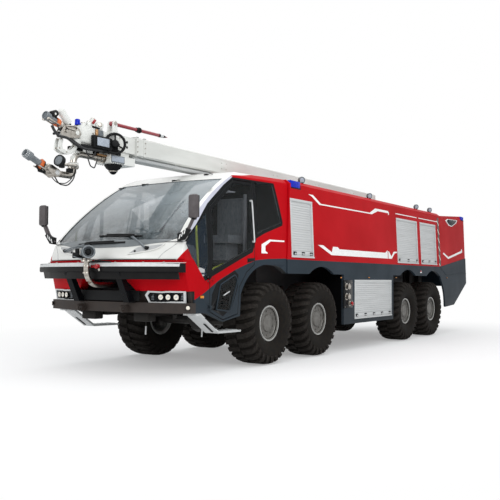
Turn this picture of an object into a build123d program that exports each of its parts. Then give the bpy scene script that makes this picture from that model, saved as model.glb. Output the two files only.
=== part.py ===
from build123d import *
import os
from math import cos, radians, sin

# Airport fire truck with four axles and a high-reach boom, in millimetres.
# X points to the vehicle's left, the front faces -Y, Z is up and the ground is at Z 0.
# Side outlines are lists of (y, z), with y measured back from the first axle.

os.makedirs("parts", exist_ok=True)

# Gaps between pieces
SEAT = 0.3
RUNNING = 8.0
PANEL_GAP = 12.0
DOOR_GAP = 14.0

# Axles: y behind the first axle, and whether the wheels steer
AXLE_1_Y = -3291.3
AXLE_TABLE = ((0.0, True), (1730.0, True), (6080.0, False), (7810.0, False))
AXLE_R = 80.0
DIFFERENTIAL_R = 215.0
HUB_PLATE_R = 150.0
HUB_PLATE_T = 28.0

# Tyres and rims
TYRE_R = 690.0
LUG_H = 42.0
LUG_COUNT = 12
LUG_SHARE = 0.64
LUG_TAPER = 0.8
TYRE_W = 600.0
TRACK_HALF = 1190.0
BEAD_HALF_W = 193.0
SIDEWALL_R = 520.0
RIM_SEAT_R = 267.0
RIM_BORE_R = 240.0
RIM_W = 430.0
RIM_SIDES = 18
WHEEL_DISC_X = 1290.0
WHEEL_DISC_T = 26.0
HUB_CAP_R = 132.0
HUB_CAP_X = 1408.0
SPINDLE_R = 90.0
SPINDLE_L = 90.0
PLAIN_SIDES = 12
PIPE_SIDES = 8

# Steering
KINGPIN_X = 985.0
KINGPIN_R = 75.0
KNUCKLE_ARM_T = 34.0
KNUCKLE_HALF_H = 95.0

# Ladder frame
RAIL_IN_X = 345.0
RAIL_W = 100.0
RAIL_LOW_Z = 850.0
RAIL_TOP_Z = 1130.0
RAIL_FRONT_Y = -2030.0
RAIL_REAR_Y = 9650.0
CROSS_MEMBERS_Y = (-1960.0, -1250.0, 860.0, 2900.0, 4400.0, 6945.0, 8640.0, 9580.0)
CROSS_MEMBER_W = 110.0
CROSS_MEMBER_H = 150.0

# Body walls: half-width at the waist, and how far they lean in
WAIST_Z = 1780.0
BODY_HALF_W = 1490.0
WALL_LEAN = 0.045
EAVE_Z = 3130.0
ROOF_Z = 3200.0
ROOF_CHAMFER = 90.0
DECK_Z = 3000.0
DECK_HALF_W = 1170.0
DECK_Y = (1250.0, 8150.0)
SEAM_Y = 445.0
SEAM_SLOPE = 0.125
REAR_SEAM_Y = 8320.0
TANK_BASE_HALF_W = 480.0
TANK_BASE_Y = (1010.0, 8250.0)

# Skirts and wheel arches
SKIRT_T = 70.0
SKIRT_LOW_Z = 1530.0
LOCKER_Y = (2650.0, 5160.0)
LOCKER_LOW_Z = 540.0
LOCKER_DEPTH = 620.0
ARCH_R = 920.0
ARCH_Z = 750.0

# Roller shutters: y from, y to, z from, z to
SHUTTER_TABLE = (
    (620.0, 1400.0, 1830.0, 2850.0),
    (5450.0, 6740.0, 1830.0, 2850.0),
    (6970.0, 8070.0, 1830.0, 2850.0),
)
LOWER_SHUTTER = (3150.0, 5030.0, 640.0, 1410.0)
SHUTTER_RECESS = 45.0
SHUTTER_T = 30.0

# Cab outline by height: z, half-width and y at the front corner, y of the nose, half-width at the back
CAB_BACK_Y = 900.0
CAB_LOW_SECTIONS = (
    (750.0, 1420.0, -2080.0, -2290.0, 1455.0),
    (1250.0, 1412.0, -2170.0, -2430.0, 1475.0),
    (1700.0, 1395.0, -2300.0, -2620.0, 1490.0),
    (1970.0, 1335.0, -2240.0, -2520.0, 1482.0),
)
CAB_SCREEN_SECTIONS = (
    (1970.0, 1335.0, -2240.0, -2520.0, 1482.0),
    (2300.0, 1270.0, -1950.0, -2180.0, 1467.0),
    (2600.0, 1222.0, -1600.0, -1790.0, 1453.0),
    (2850.0, 1192.0, -1250.0, -1400.0, 1442.0),
    (3120.0, 1170.0, -780.0, -880.0, 1430.0),
)
CAB_ROOF_INSET = 90.0
CAB_WALL = 45.0
SCREEN_INSET_Y = 1.8
CAB_SILL_Z = 925.0
CAB_FLOOR_T = 60.0
CAB_DECK_Z = 1740.0
CAB_DECK_T = 55.0
FIREWALL_Y = -2050.0
STEP_WALL_Y = -965.0
HOOD_LOW_Z = 1700.0
HOOD_TOP_Z = 1970.0
FASCIA_LOW_Z = 1250.0
BUMPER_TOP_Z = 1080.0
BUMPER_LOW_Z = 930.0

# Cab openings
GLASS_DEPTH = 8.0
GLASS_T = 10.0
PILLAR_W = 85.0
SCREEN_LOW_Z = 1990.0
SCREEN_TOP_Z = 3050.0
DOOR_OUTLINE = (
    (-1690.0, 935.0), (-1700.0, 1330.0), (-1490.0, 2550.0), (-1020.0, 2890.0), (-780.0, 3050.0),
    (-330.0, 3050.0), (-420.0, 2300.0), (-510.0, 1670.0), (-740.0, 1530.0), (-930.0, 1300.0),
    (-965.0, 880.0), (-1360.0, 800.0),
)
DOOR_WINDOW = (
    (-1635.0, 1540.0), (-1445.0, 2495.0), (-995.0, 2825.0), (-800.0, 2980.0),
    (-395.0, 2980.0), (-475.0, 2250.0), (-565.0, 1930.0), (-1050.0, 1765.0),
)
DOOR_LOW_WINDOW = ((-1500.0, 985.0), (-1405.0, 1325.0), (-1060.0, 1470.0), (-1010.0, 1400.0), (-1190.0, 950.0))
FRONT_QUARTER = (
    (-1760.0, 1480.0), (-1840.0, 1455.0), (-2095.0, 1750.0), (-2175.0, 1945.0),
    (-1930.0, 2165.0), (-1590.0, 2440.0),
)
REAR_QUARTER = ((-270.0, 3045.0), (200.0, 3045.0), (345.0, 2400.0), (-200.0, 2240.0), (-350.0, 2170.0))

# Front bumper bar, in plan an arc across the nose
BAR_END_X = 1450.0
BAR_END_Y = -2450.0
BAR_NOSE_Y = -2790.0
BAR_DEPTH = 150.0
BAR_Z = (1520.0, 1650.0)
BAR_STRUT_X = 520.0
BAR_STRUT_W = 110.0

# Rear module side outlines
REAR_UPPER = ((8332.0, 1780.0), (8505.0, 3140.0), (10550.0, 3270.0), (10520.0, 2050.0), (10340.0, 2030.0))
REAR_LOWER = (
    (8332.0, 1779.7), (10340.0, 2029.7), (10520.0, 2049.7), (10590.0, 1340.0),
    (9480.0, 750.0), (8760.0, 710.0), (8730.0, 750.0), (8332.0, 1560.0),
)
REAR_WALL = 50.0
TAIL_CEILING_Z = 1720.0
TAIL_MOUNTS_Y = (8900.0, 9560.0)
ENGINE_X = 330.0
ENGINE_Y = (8760.0, 10100.0)
ENGINE_H = 630.0

# Boom and its turntable
SLEW_Y = 6850.0
SLEW_RING_R = 380.0
SLEW_RING_H = 45.0
TURNTABLE_T = 30.0
BOOM_PIVOT_Y = 7000.0
BOOM_PIVOT_Z = 3500.0
BOOM_PIN_R = 40.0
CHEEK_T = 32.0
CHEEK_GAP = 8.0
BOOM_REAR_Y = 7200.0
BOOM_FRONT_Y = -1950.0
BOOM_HALF = 150.0
BOOM_LOW_Z = 3350.0
BOOM_WALL = 14.0
BOOM_PAD_L = 180.0
BOOM_PLAY = 8.0
INNER_FRONT_Y = -2060.0
INNER_L = 7000.0
CRADLE_Y = 900.0
CYLINDER_FOOT = (6300.0, 3145.0)
CYLINDER_HEAD = (4850.0, 3290.0)
CYLINDER_R = 62.0
CYLINDER_ROD_R = 32.0
CYLINDER_EYE_R = 52.0
CYLINDER_EYE_W = 60.0
CYLINDER_PIN_R = 24.0
CYLINDER_BARREL_L = 1190.0
CYLINDER_ROD_TAIL = 260.0
EYE_CHEEK_T = 22.0
EYE_SIDE_GAP = 8.0


def at(y):
    """Place along the vehicle of a distance behind the first axle."""
    return AXLE_1_Y + y


def wall_x(z):
    """Half-width of the upper body at a height."""
    return BODY_HALF_W - WALL_LEAN * (z - WAIST_Z)


def block(x, y, z, mode=Mode.ADD):
    """Box from three (low, high) pairs, y behind the first axle."""
    with Locations(((x[0] + x[1]) / 2, at((y[0] + y[1]) / 2), (z[0] + z[1]) / 2)):
        Box(x[1] - x[0], y[1] - y[0], z[1] - z[0], mode=mode)


def rod_x(x, y, z, radius, mode=Mode.ADD):
    """Cylinder along X between a (low, high) pair, y behind the first axle."""
    with Locations(Location(((x[0] + x[1]) / 2, at(y), z), (0, 90, 0))):
        Cylinder(radius, x[1] - x[0], mode=mode)


def rod_y(x, y, z, radius, mode=Mode.ADD):
    """Cylinder along Y between a (low, high) pair, y behind the first axle."""
    with Locations(Location((x, at((y[0] + y[1]) / 2), z), (90, 0, 0))):
        Cylinder(radius, y[1] - y[0], mode=mode)


def rod_z(x, y, z, radius, mode=Mode.ADD):
    """Cylinder along Z between a (low, high) pair, y behind the first axle."""
    with Locations((x, at(y), (z[0] + z[1]) / 2)):
        Cylinder(radius, z[1] - z[0], mode=mode)


def outline(plane, points):
    """Flat face with straight edges."""
    with BuildSketch(plane) as face:
        with BuildLine():
            Polyline(*points, close=True)
        make_face()
    return face.sketch


def side_face(points, x=0.0):
    """Flat face across the vehicle, from a side outline."""
    return outline(Plane.YZ.offset(x), [(at(y), z) for y, z in points])


def side_prism(points, x):
    """Solid between two x values with a side outline."""
    with BuildPart() as prism:
        extrude(side_face(points, x[0]), amount=x[1] - x[0])
    return prism.part


def wide_prism(points, half_width):
    """Solid right across the vehicle with a side outline."""
    return side_prism(points, (-half_width, half_width))


def disc_x(x, y, z, radius):
    """Disc along X as a loose solid, for cutting."""
    with BuildPart() as disc:
        rod_x(x, y, z, radius)
    return disc.part


def prism_x(x, y, z, radius, sides, mode=Mode.ADD):
    """Regular prism along X between a (low, high) pair, for round forms that repeat or stay out of sight."""
    with BuildSketch(Plane.YZ.offset(x[0])) as face:
        with Locations((at(y), z)):
            RegularPolygon(radius, sides)
    extrude(face.sketch, amount=x[1] - x[0], mode=mode)


def prism_z(x, y, z, radius, sides, mode=Mode.ADD):
    """Regular prism along Z between a (low, high) pair."""
    with BuildSketch(Plane.XY.offset(z[0])) as face:
        with Locations((x, at(y))):
            RegularPolygon(radius, sides)
    extrude(face.sketch, amount=z[1] - z[0], mode=mode)


def pipe(points, radius):
    """Pipe with a plain section along a route of (x, y, z), mitred at its corners."""
    route = [Vector(x, at(y), z) for x, y, z in points]
    with BuildPart() as tube:
        with BuildLine():
            Polyline(*route)
        with BuildSketch(Plane(origin=route[0], z_dir=route[1] - route[0])):
            RegularPolygon(radius, PIPE_SIDES)
        sweep(transition=Transition.RIGHT)
    return tube.part


def both_sides(part):
    """A left-hand solid and its mirror image."""
    with BuildPart() as pair:
        add(part)
        mirror(part, about=Plane.YZ)
    return pair.part


# Tyres, modelled for the first left wheel and moved to the others
axle_1_plane = Plane(origin=(0, AXLE_1_Y, TYRE_R), x_dir=(1, 0, 0), z_dir=(0, -1, 0))
axle_1_axis = Axis((0, AXLE_1_Y, TYRE_R), (1, 0, 0))
tread_r = TYRE_R - LUG_H
tyre_side_x = TYRE_W / 2 - 8


def lug_ring(first_turn):
    """Side outline of one half of the tread: lugs that narrow outwards, round the whole tyre."""
    lug_turn = 360 / LUG_COUNT
    root_turn = 360 * LUG_SHARE / LUG_COUNT / 2
    tip_turn = root_turn * LUG_TAPER
    points = []
    for lug in range(LUG_COUNT):
        middle = first_turn + lug * lug_turn
        corners = ((-root_turn, tread_r), (-tip_turn, TYRE_R), (tip_turn, TYRE_R), (root_turn, tread_r))
        for turn, radius in corners:
            angle = radians(middle + turn)
            points.append((AXLE_1_Y + radius * sin(angle), TYRE_R - radius * cos(angle)))
    return points


# One lug corner of the outer half stands right under the axle, so the tyre rests at Z 0
corner_turn = 360 * LUG_SHARE * LUG_TAPER / LUG_COUNT / 2
with BuildPart() as tyre_form:
    extrude(outline(Plane.YZ.offset(TRACK_HALF), lug_ring(corner_turn)), amount=tyre_side_x)
    extrude(outline(Plane.YZ.offset(TRACK_HALF), lug_ring(corner_turn + 180 / LUG_COUNT)), amount=-tyre_side_x)
    for hand in (1, -1):
        sidewall = (
            (TRACK_HALF + hand * BEAD_HALF_W, 0.0), (TRACK_HALF + hand * BEAD_HALF_W, RIM_SEAT_R + SEAT),
            (TRACK_HALF + hand * tyre_side_x, SIDEWALL_R), (TRACK_HALF + hand * TYRE_W, SIDEWALL_R),
            (TRACK_HALF + hand * TYRE_W, 0.0),
        )
        revolve(outline(axle_1_plane, sidewall), axle_1_axis, mode=Mode.SUBTRACT)
    rod_x((TRACK_HALF - TYRE_W, TRACK_HALF + TYRE_W), 0, TYRE_R, RIM_SEAT_R + SEAT, mode=Mode.SUBTRACT)

# Rims: barrel, dished front with a hub cap, and a recess for the hub with the spindle's bore
hub_seat_x = WHEEL_DISC_X - WHEEL_DISC_T
rim_x = (TRACK_HALF - RIM_W / 2, TRACK_HALF + RIM_W / 2)
with BuildPart() as rim_form:
    rod_x(rim_x, 0, TYRE_R, RIM_SEAT_R)
    with BuildPart(mode=Mode.PRIVATE) as rim_dish:
        for x, radius in ((rim_x[1], RIM_BORE_R), (WHEEL_DISC_X, RIM_BORE_R - 45)):
            with BuildSketch(Plane.YZ.offset(x)):
                with Locations((AXLE_1_Y, TYRE_R)):
                    RegularPolygon(radius, RIM_SIDES)
        loft()
    add(rim_dish.part, mode=Mode.SUBTRACT)
    with BuildPart(mode=Mode.PRIVATE) as hub_cap:
        for x, radius in ((WHEEL_DISC_X - 10, HUB_CAP_R), (HUB_CAP_X, HUB_CAP_R - 24)):
            with BuildSketch(Plane.YZ.offset(x)):
                with Locations((AXLE_1_Y, TYRE_R)):
                    RegularPolygon(radius, PLAIN_SIDES)
        loft()
    add(hub_cap.part)
    prism_x((rim_x[0], hub_seat_x), 0, TYRE_R, RIM_BORE_R, RIM_SIDES, mode=Mode.SUBTRACT)
    rod_x((hub_seat_x, hub_seat_x + SPINDLE_L), 0, TYRE_R, SPINDLE_R + SEAT, mode=Mode.SUBTRACT)

for axle, (axle_y, steers) in enumerate(AXLE_TABLE, 1):
    for side in ("left", "right"):
        with BuildPart() as tyre:
            with Locations((0, axle_y, 0)):
                add(tyre_form.part)
            if side == "right":
                mirror(about=Plane.YZ, mode=Mode.REPLACE)
        tyre.part.label = f"tyre_{axle}_{side}"
        export_step(tyre.part, f"parts/tyre_{axle}_{side}.step")
        with BuildPart() as rim:
            with Locations((0, axle_y, 0)):
                add(rim_form.part)
            if side == "right":
                mirror(about=Plane.YZ, mode=Mode.REPLACE)
        rim.part.label = f"rim_{axle}_{side}"
        export_step(rim.part, f"parts/rim_{axle}_{side}.step")

# Steering knuckles: two arms round the kingpin eye, an upright and the spindle
upright_x = KINGPIN_X + KINGPIN_R + RUNNING
with BuildPart() as knuckle_form:
    for level in (KNUCKLE_HALF_H + SEAT, -KNUCKLE_HALF_H - SEAT - KNUCKLE_ARM_T):
        arm_z = (TYRE_R + level, TYRE_R + level + KNUCKLE_ARM_T)
        prism_z(KINGPIN_X, 0, arm_z, KINGPIN_R, PLAIN_SIDES)
        block((KINGPIN_X, upright_x + KNUCKLE_ARM_T), (-KINGPIN_R, KINGPIN_R), arm_z)
    block(
        (upright_x, upright_x + KNUCKLE_ARM_T),
        (-KINGPIN_R, KINGPIN_R),
        (TYRE_R - KNUCKLE_HALF_H - SEAT - KNUCKLE_ARM_T, TYRE_R + KNUCKLE_HALF_H + SEAT + KNUCKLE_ARM_T),
    )
    prism_x((upright_x + KNUCKLE_ARM_T, hub_seat_x - SEAT), 0, TYRE_R, HUB_PLATE_R, PLAIN_SIDES)
    rod_x((hub_seat_x - SEAT, hub_seat_x + SPINDLE_L - SEAT), 0, TYRE_R, SPINDLE_R)

for axle, (axle_y, steers) in enumerate(AXLE_TABLE, 1):
    for side in ("left", "right"):
        if steers:
            with BuildPart() as knuckle:
                with Locations((0, axle_y, 0)):
                    add(knuckle_form.part)
                if side == "right":
                    mirror(about=Plane.YZ, mode=Mode.REPLACE)
            knuckle.part.label = f"knuckle_{axle}_{side}"
            export_step(knuckle.part, f"parts/knuckle_{axle}_{side}.step")

# Axle beams with their differential and springs
SPRING_X = 610.0
SPRING_R = 95.0
BRACKET_T = 40.0
with BuildPart() as axle_beams:
    for axle_y, steers in AXLE_TABLE:
        beam_end = KINGPIN_X if steers else hub_seat_x - SEAT - HUB_PLATE_T
        prism_x((-beam_end, beam_end), axle_y, TYRE_R, AXLE_R, PIPE_SIDES)
        for hand in (1, -1):
            with BuildPart(mode=Mode.PRIVATE) as differential:
                for x, radius in ((0.0, DIFFERENTIAL_R), (0.55 * DIFFERENTIAL_R, DIFFERENTIAL_R), (1.2 * DIFFERENTIAL_R, AXLE_R)):
                    with BuildSketch(Plane.YZ.offset(hand * x)):
                        with Locations((at(axle_y), TYRE_R)):
                            RegularPolygon(radius, PIPE_SIDES)
                loft(ruled=True)
            add(differential.part)
            prism_z(hand * SPRING_X, axle_y, (TYRE_R, RAIL_TOP_Z - BRACKET_T - SEAT), SPRING_R, PIPE_SIDES)
            if steers:
                eye_z = (TYRE_R - KNUCKLE_HALF_H, TYRE_R + KNUCKLE_HALF_H)
                prism_z(hand * KINGPIN_X, axle_y, eye_z, KINGPIN_R, PLAIN_SIDES)
            else:
                plate_x = sorted((hand * beam_end, hand * (beam_end + HUB_PLATE_T)))
                prism_x(plate_x, axle_y, TYRE_R, HUB_PLATE_R, PLAIN_SIDES)
                tip_x = sorted((hand * (beam_end + HUB_PLATE_T), hand * (hub_seat_x + SPINDLE_L - SEAT)))
                rod_x(tip_x, axle_y, TYRE_R, SPINDLE_R)
axle_beams.part.label = "axle_beams"
export_step(axle_beams.part, "parts/axle_beams.step")

# Ladder frame: rails with the spring brackets over each axle, and the cross members between them
TOW_EYE_R = 30.0
TOW_EYE_Y = 10300.0
TOW_EYE_Z = 1010.0
TOW_LUG_R = 75.0
with BuildPart() as chassis_frame:
    for hand in (1, -1):
        rail = sorted((hand * RAIL_IN_X, hand * (RAIL_IN_X + RAIL_W)))
        block(rail, (RAIL_FRONT_Y, RAIL_REAR_Y), (RAIL_LOW_Z, RAIL_TOP_Z))
        for y in TAIL_MOUNTS_Y:
            block(rail, (y - CROSS_MEMBER_W / 2, y + CROSS_MEMBER_W / 2), (RAIL_TOP_Z - 5, TAIL_CEILING_Z - SEAT))
        tow_tongue = (
            (RAIL_REAR_Y, RAIL_LOW_Z), (RAIL_REAR_Y, RAIL_TOP_Z - 60),
            (TOW_EYE_Y, TOW_EYE_Z + TOW_LUG_R), (TOW_EYE_Y, TOW_EYE_Z - TOW_LUG_R),
        )
        tongue_x = sorted((hand * (RAIL_IN_X + 30), hand * (RAIL_IN_X + RAIL_W - 30)))
        add(side_prism(tow_tongue, tongue_x))
        rod_x(tongue_x, TOW_EYE_Y, TOW_EYE_Z, TOW_LUG_R)
        rod_x(tongue_x, TOW_EYE_Y, TOW_EYE_Z, TOW_EYE_R, mode=Mode.SUBTRACT)
        for axle_y, steers in AXLE_TABLE:
            bracket = sorted((hand * (RAIL_IN_X + RAIL_W), hand * (SPRING_X + SPRING_R)))
            block(bracket, (axle_y - SPRING_R, axle_y + SPRING_R), (RAIL_TOP_Z - BRACKET_T, RAIL_TOP_Z))
chassis_frame.part.label = "chassis_frame"
export_step(chassis_frame.part, "parts/chassis_frame.step")

rail_middle_z = (RAIL_LOW_Z + RAIL_TOP_Z) / 2
with BuildPart() as cross_members:
    for y in CROSS_MEMBERS_Y:
        block(
            (-RAIL_IN_X + SEAT, RAIL_IN_X - SEAT),
            (y - CROSS_MEMBER_W / 2, y + CROSS_MEMBER_W / 2),
            (rail_middle_z - CROSS_MEMBER_H / 2, rail_middle_z + CROSS_MEMBER_H / 2),
        )
cross_members.part.label = "cross_members"
export_step(cross_members.part, "parts/cross_members.step")


def cab_section(section, inset, back_y=CAB_BACK_Y):
    """Plan outline of the cab at one height, with a bowed front."""
    z, corner_x, corner_y, nose_y, back_x = section
    front = at(corner_y + SCREEN_INSET_Y * inset)
    nose = at(nose_y + SCREEN_INSET_Y * inset)
    with BuildSketch(Plane.XY.offset(z)) as face:
        with BuildLine():
            ThreePointArc((-corner_x + inset, front), (0, nose), (corner_x - inset, front))
            Polyline(
                (corner_x - inset, front), (back_x - inset, at(back_y)),
                (inset - back_x, at(back_y)), (inset - corner_x, front),
            )
        make_face()
    return face.sketch


def cab_form(inset):
    """Outer form of the cab, or the same form moved inwards."""
    top = CAB_SCREEN_SECTIONS[-1]
    roof = (ROOF_Z, top[1] - CAB_ROOF_INSET, top[2] + 2 * CAB_ROOF_INSET, top[3] + 2 * CAB_ROOF_INSET, top[4] - CAB_ROOF_INSET)
    with BuildPart() as form:
        loft([cab_section(s, inset) for s in CAB_LOW_SECTIONS], ruled=True)
        loft([cab_section(s, inset) for s in CAB_SCREEN_SECTIONS])
        if inset == 0:
            loft([cab_section(s, inset) for s in (top, roof)], ruled=True)
    return form.part


def seam_y(z, first=SEAM_Y):
    """Place of a leaning seam at a height."""
    return first + SEAM_SLOPE * (z - WAIST_Z)


def through_side(points, reach=1600.0, inner=900.0):
    """Left-hand cutter for a side window or door."""
    return side_prism(points, (inner, reach))


def shrink(points, gap):
    """The same outline drawn in by a gap on every edge."""
    with BuildSketch(Plane.YZ) as face:
        with BuildLine():
            Polyline(*[(at(y), z) for y, z in points], close=True)
        make_face()
        offset(amount=-gap, kind=Kind.INTERSECTION, mode=Mode.REPLACE)
    return face.sketch


def shrunk_prism(points, gap, reach=1600.0, inner=900.0):
    """Left-hand solid with an outline drawn in by a gap."""
    with BuildPart() as prism:
        with Locations((inner, 0, 0)):
            add(extrude(shrink(points, gap), amount=reach - inner, mode=Mode.PRIVATE))
    return prism.part


FAR = 3000.0
TOP = 3400.0
cab_outer = cab_form(0)
cab_inner = cab_form(CAB_WALL)
glass_outer = cab_form(GLASS_DEPTH)
glass_inner = cab_form(GLASS_DEPTH + GLASS_T)

with BuildPart() as cab_body:
    add(cab_outer)
    with BuildSketch(Plane.YZ):
        with BuildLine():
            Polyline(
                (at(450), SKIRT_LOW_Z), (at(450), WAIST_Z), (at(seam_y(TOP)), TOP), (at(-FAR), TOP),
                (at(-FAR), CAB_SILL_Z), (at(-1800), CAB_SILL_Z), (at(-1360), 780), (at(-910), 850),
                (at(-890), 1200),
            )
            ThreePointArc((at(-890), 1200), (at(-620), 1520), (at(-20), 1665))
            ThreePointArc((at(-20), 1665), (at(230), 1635), (at(450), SKIRT_LOW_Z))
        make_face()
    extrude(amount=BODY_HALF_W + 20, both=True, mode=Mode.INTERSECT)

floor_z = RAIL_TOP_Z + SEAT
cab_cavity_outline = (
    (FIREWALL_Y + CAB_WALL, floor_z + CAB_FLOOR_T), (FIREWALL_Y + CAB_WALL, HOOD_TOP_Z + SEAT),
    (-FAR, HOOD_TOP_Z + SEAT), (-FAR, TOP), (seam_y(TOP) - CAB_WALL, TOP),
    (SEAM_Y - CAB_WALL, CAB_DECK_Z), (STEP_WALL_Y, CAB_DECK_Z), (STEP_WALL_Y, floor_z + CAB_FLOOR_T),
)
with BuildPart() as cab_cavity:
    add(cab_inner)
    extrude(side_face(cab_cavity_outline), amount=FAR, both=True, mode=Mode.INTERSECT)

cab_under_outline = (
    (-FAR, 0), (-FAR, floor_z), (STEP_WALL_Y - CAB_WALL, floor_z),
    (STEP_WALL_Y - CAB_WALL, CAB_DECK_Z - CAB_DECK_T), (FAR, CAB_DECK_Z - CAB_DECK_T), (FAR, 0),
)
screen_outline = (
    (-CAB_SCREEN_SECTIONS[0][1] + PILLAR_W, SCREEN_LOW_Z), (CAB_SCREEN_SECTIONS[0][1] - PILLAR_W, SCREEN_LOW_Z),
    (CAB_SCREEN_SECTIONS[-1][1] - PILLAR_W, SCREEN_TOP_Z), (-CAB_SCREEN_SECTIONS[-1][1] + PILLAR_W, SCREEN_TOP_Z),
)


def screen_prism(gap):
    """Cutter along Y for the windscreen, drawn in by a gap."""
    with BuildSketch(Plane.XZ) as face:
        with BuildLine():
            Polyline(*screen_outline, close=True)
        make_face()
        if gap:
            offset(amount=-gap, kind=Kind.INTERSECTION, mode=Mode.REPLACE)
    with BuildPart() as prism:
        with Locations((0, at(-500), 0)):
            add(extrude(face.sketch, amount=FAR, mode=Mode.PRIVATE))
    return prism.part


# Door hinges on an upright axis outside the wall
HINGE_X = 1442.0
HINGE_Y = -1703.0
HINGE_Z = (1010.0, 1430.0)
HINGE_R = 14.0
HINGE_PIN_R = 7.0
HINGE_HALF_L = 20.0
HINGE_LUG_T = 20.0


def hinge_leaf(z, strap_y, let_in_y):
    """Left-hand hinge leaf: an eye on the axis and a strap, let into the wall along part of its length."""
    prism_z(HINGE_X, HINGE_Y, z, HINGE_R, PLAIN_SIDES)
    block((HINGE_X - HINGE_R, HINGE_X + 6), strap_y, z)
    block((HINGE_X - 52, HINGE_X), let_in_y, z)


with BuildPart() as cab_hinges:
    for middle in HINGE_Z:
        for low in (middle + HINGE_HALF_L + SEAT, middle - HINGE_HALF_L - SEAT - HINGE_LUG_T):
            hinge_leaf((low, low + HINGE_LUG_T), (HINGE_Y - 47, HINGE_Y), (HINGE_Y - 47, HINGE_Y - 19))
        rod_z(HINGE_X, HINGE_Y, (middle - HINGE_HALF_L - 10, middle + HINGE_HALF_L + 10), HINGE_PIN_R)

with BuildPart() as cab_shell:
    add(cab_body.part)
    add(cab_cavity.part, mode=Mode.SUBTRACT)
    add(wide_prism(cab_under_outline, CAB_LOW_SECTIONS[0][1] - CAB_WALL), mode=Mode.SUBTRACT)
    block((-FAR, FAR), (-FAR, FIREWALL_Y), (0, HOOD_TOP_Z + SEAT), mode=Mode.SUBTRACT)
    add(screen_prism(0), mode=Mode.SUBTRACT)
    for points in (DOOR_OUTLINE, FRONT_QUARTER, REAR_QUARTER):
        add(both_sides(through_side(points)), mode=Mode.SUBTRACT)
    add(both_sides(cab_hinges.part))
cab_shell.part.label = "cab_shell"
export_step(cab_shell.part, "parts/cab_shell.step")

with BuildPart() as cab_glass:
    with BuildPart(mode=Mode.PRIVATE) as windscreen:
        add(glass_outer)
        add(glass_inner, mode=Mode.SUBTRACT)
        add(screen_prism(SEAT), mode=Mode.INTERSECT)
    add(windscreen.part)
    for points in (FRONT_QUARTER, REAR_QUARTER):
        with BuildPart(mode=Mode.PRIVATE) as pane:
            add(glass_outer)
            add(glass_inner, mode=Mode.SUBTRACT)
            add(shrunk_prism(points, SEAT), mode=Mode.INTERSECT)
        add(both_sides(pane.part))
cab_glass.part.label = "cab_glass"
export_step(cab_glass.part, "parts/cab_glass.step")

for side in ("left", "right"):
    with BuildPart() as door:
        add(cab_outer)
        add(cab_inner, mode=Mode.SUBTRACT)
        add(shrunk_prism(DOOR_OUTLINE, DOOR_GAP), mode=Mode.INTERSECT)
        add(through_side(DOOR_WINDOW), mode=Mode.SUBTRACT)
        add(through_side(DOOR_LOW_WINDOW), mode=Mode.SUBTRACT)
        for middle in HINGE_Z:
            leaf_z = (middle - HINGE_HALF_L, middle + HINGE_HALF_L)
            hinge_leaf(leaf_z, (HINGE_Y, HINGE_Y + 103), (HINGE_Y + 53, HINGE_Y + 103))
            rod_z(HINGE_X, HINGE_Y, leaf_z, HINGE_PIN_R + SEAT, mode=Mode.SUBTRACT)
        if side == "right":
            mirror(about=Plane.YZ, mode=Mode.REPLACE)
    door.part.label = f"door_{side}"
    export_step(door.part, f"parts/door_{side}.step")
    with BuildPart() as door_glass:
        for points in (DOOR_WINDOW, DOOR_LOW_WINDOW):
            with BuildPart(mode=Mode.PRIVATE) as pane:
                add(glass_outer)
                add(glass_inner, mode=Mode.SUBTRACT)
                add(shrunk_prism(points, SEAT), mode=Mode.INTERSECT)
            add(pane.part)
        if side == "right":
            mirror(about=Plane.YZ, mode=Mode.REPLACE)
    door_glass.part.label = f"door_glass_{side}"
    export_step(door_glass.part, f"parts/door_glass_{side}.step")

# Nose: hood, fascia with its recess, grille band, bumper and headlights
with BuildPart() as front_hood:
    add(cab_outer)
    block((-FAR, FAR), (-FAR, FIREWALL_Y - SEAT), (HOOD_LOW_Z, HOOD_TOP_Z), mode=Mode.INTERSECT)
    add(both_sides(through_side(FRONT_QUARTER)), mode=Mode.SUBTRACT)
front_hood.part.label = "front_hood"
export_step(front_hood.part, "parts/front_hood.step")

RECESS_BACK_Y = -2180.0
recess_outline = ((-600.0, FASCIA_LOW_Z - 5), (600.0, FASCIA_LOW_Z - 5), (430.0, 1440.0), (-430.0, 1440.0))
with BuildPart() as recess_cut:
    with Locations((0, at(RECESS_BACK_Y), 0)):
        add(extrude(outline(Plane.XZ, recess_outline), amount=FAR, mode=Mode.PRIVATE))
with BuildPart() as front_fascia:
    add(cab_outer)
    block((-FAR, FAR), (-FAR, FIREWALL_Y - SEAT), (FASCIA_LOW_Z, HOOD_LOW_Z - SEAT), mode=Mode.INTERSECT)
    add(recess_cut.part, mode=Mode.SUBTRACT)
    add(both_sides(through_side(FRONT_QUARTER)), mode=Mode.SUBTRACT)
front_fascia.part.label = "front_fascia"
export_step(front_fascia.part, "parts/front_fascia.step")

HEADLIGHT_X = (750.0, 1350.0)
HEADLIGHT_Z = (1085.0, 1240.0)
GRILLE_SET_BACK = 25.0


def headlight_prism(gap, back_y):
    """Left-hand cutter along Y for a headlight, from a plane forwards."""
    with BuildPart() as prism:
        with Locations((0, at(back_y), 0)):
            x = (HEADLIGHT_X[0] + gap, HEADLIGHT_X[1] - gap)
            z = (HEADLIGHT_Z[0] + gap, HEADLIGHT_Z[1] - gap)
            corners = ((x[0], z[0]), (x[1], z[0]), (x[1], z[1]), (x[0], z[1]))
            add(extrude(outline(Plane.XZ, corners), amount=FAR, mode=Mode.PRIVATE))
    return prism.part


headlight_back_y = CAB_LOW_SECTIONS[0][2] - 10
with BuildPart() as headlights:
    with BuildPart(mode=Mode.PRIVATE) as headlight:
        add(cab_outer)
        add(headlight_prism(SEAT, headlight_back_y - SEAT), mode=Mode.INTERSECT)
    add(both_sides(headlight.part))
headlights.part.label = "headlights"
export_step(headlights.part, "parts/headlights.step")


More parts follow.
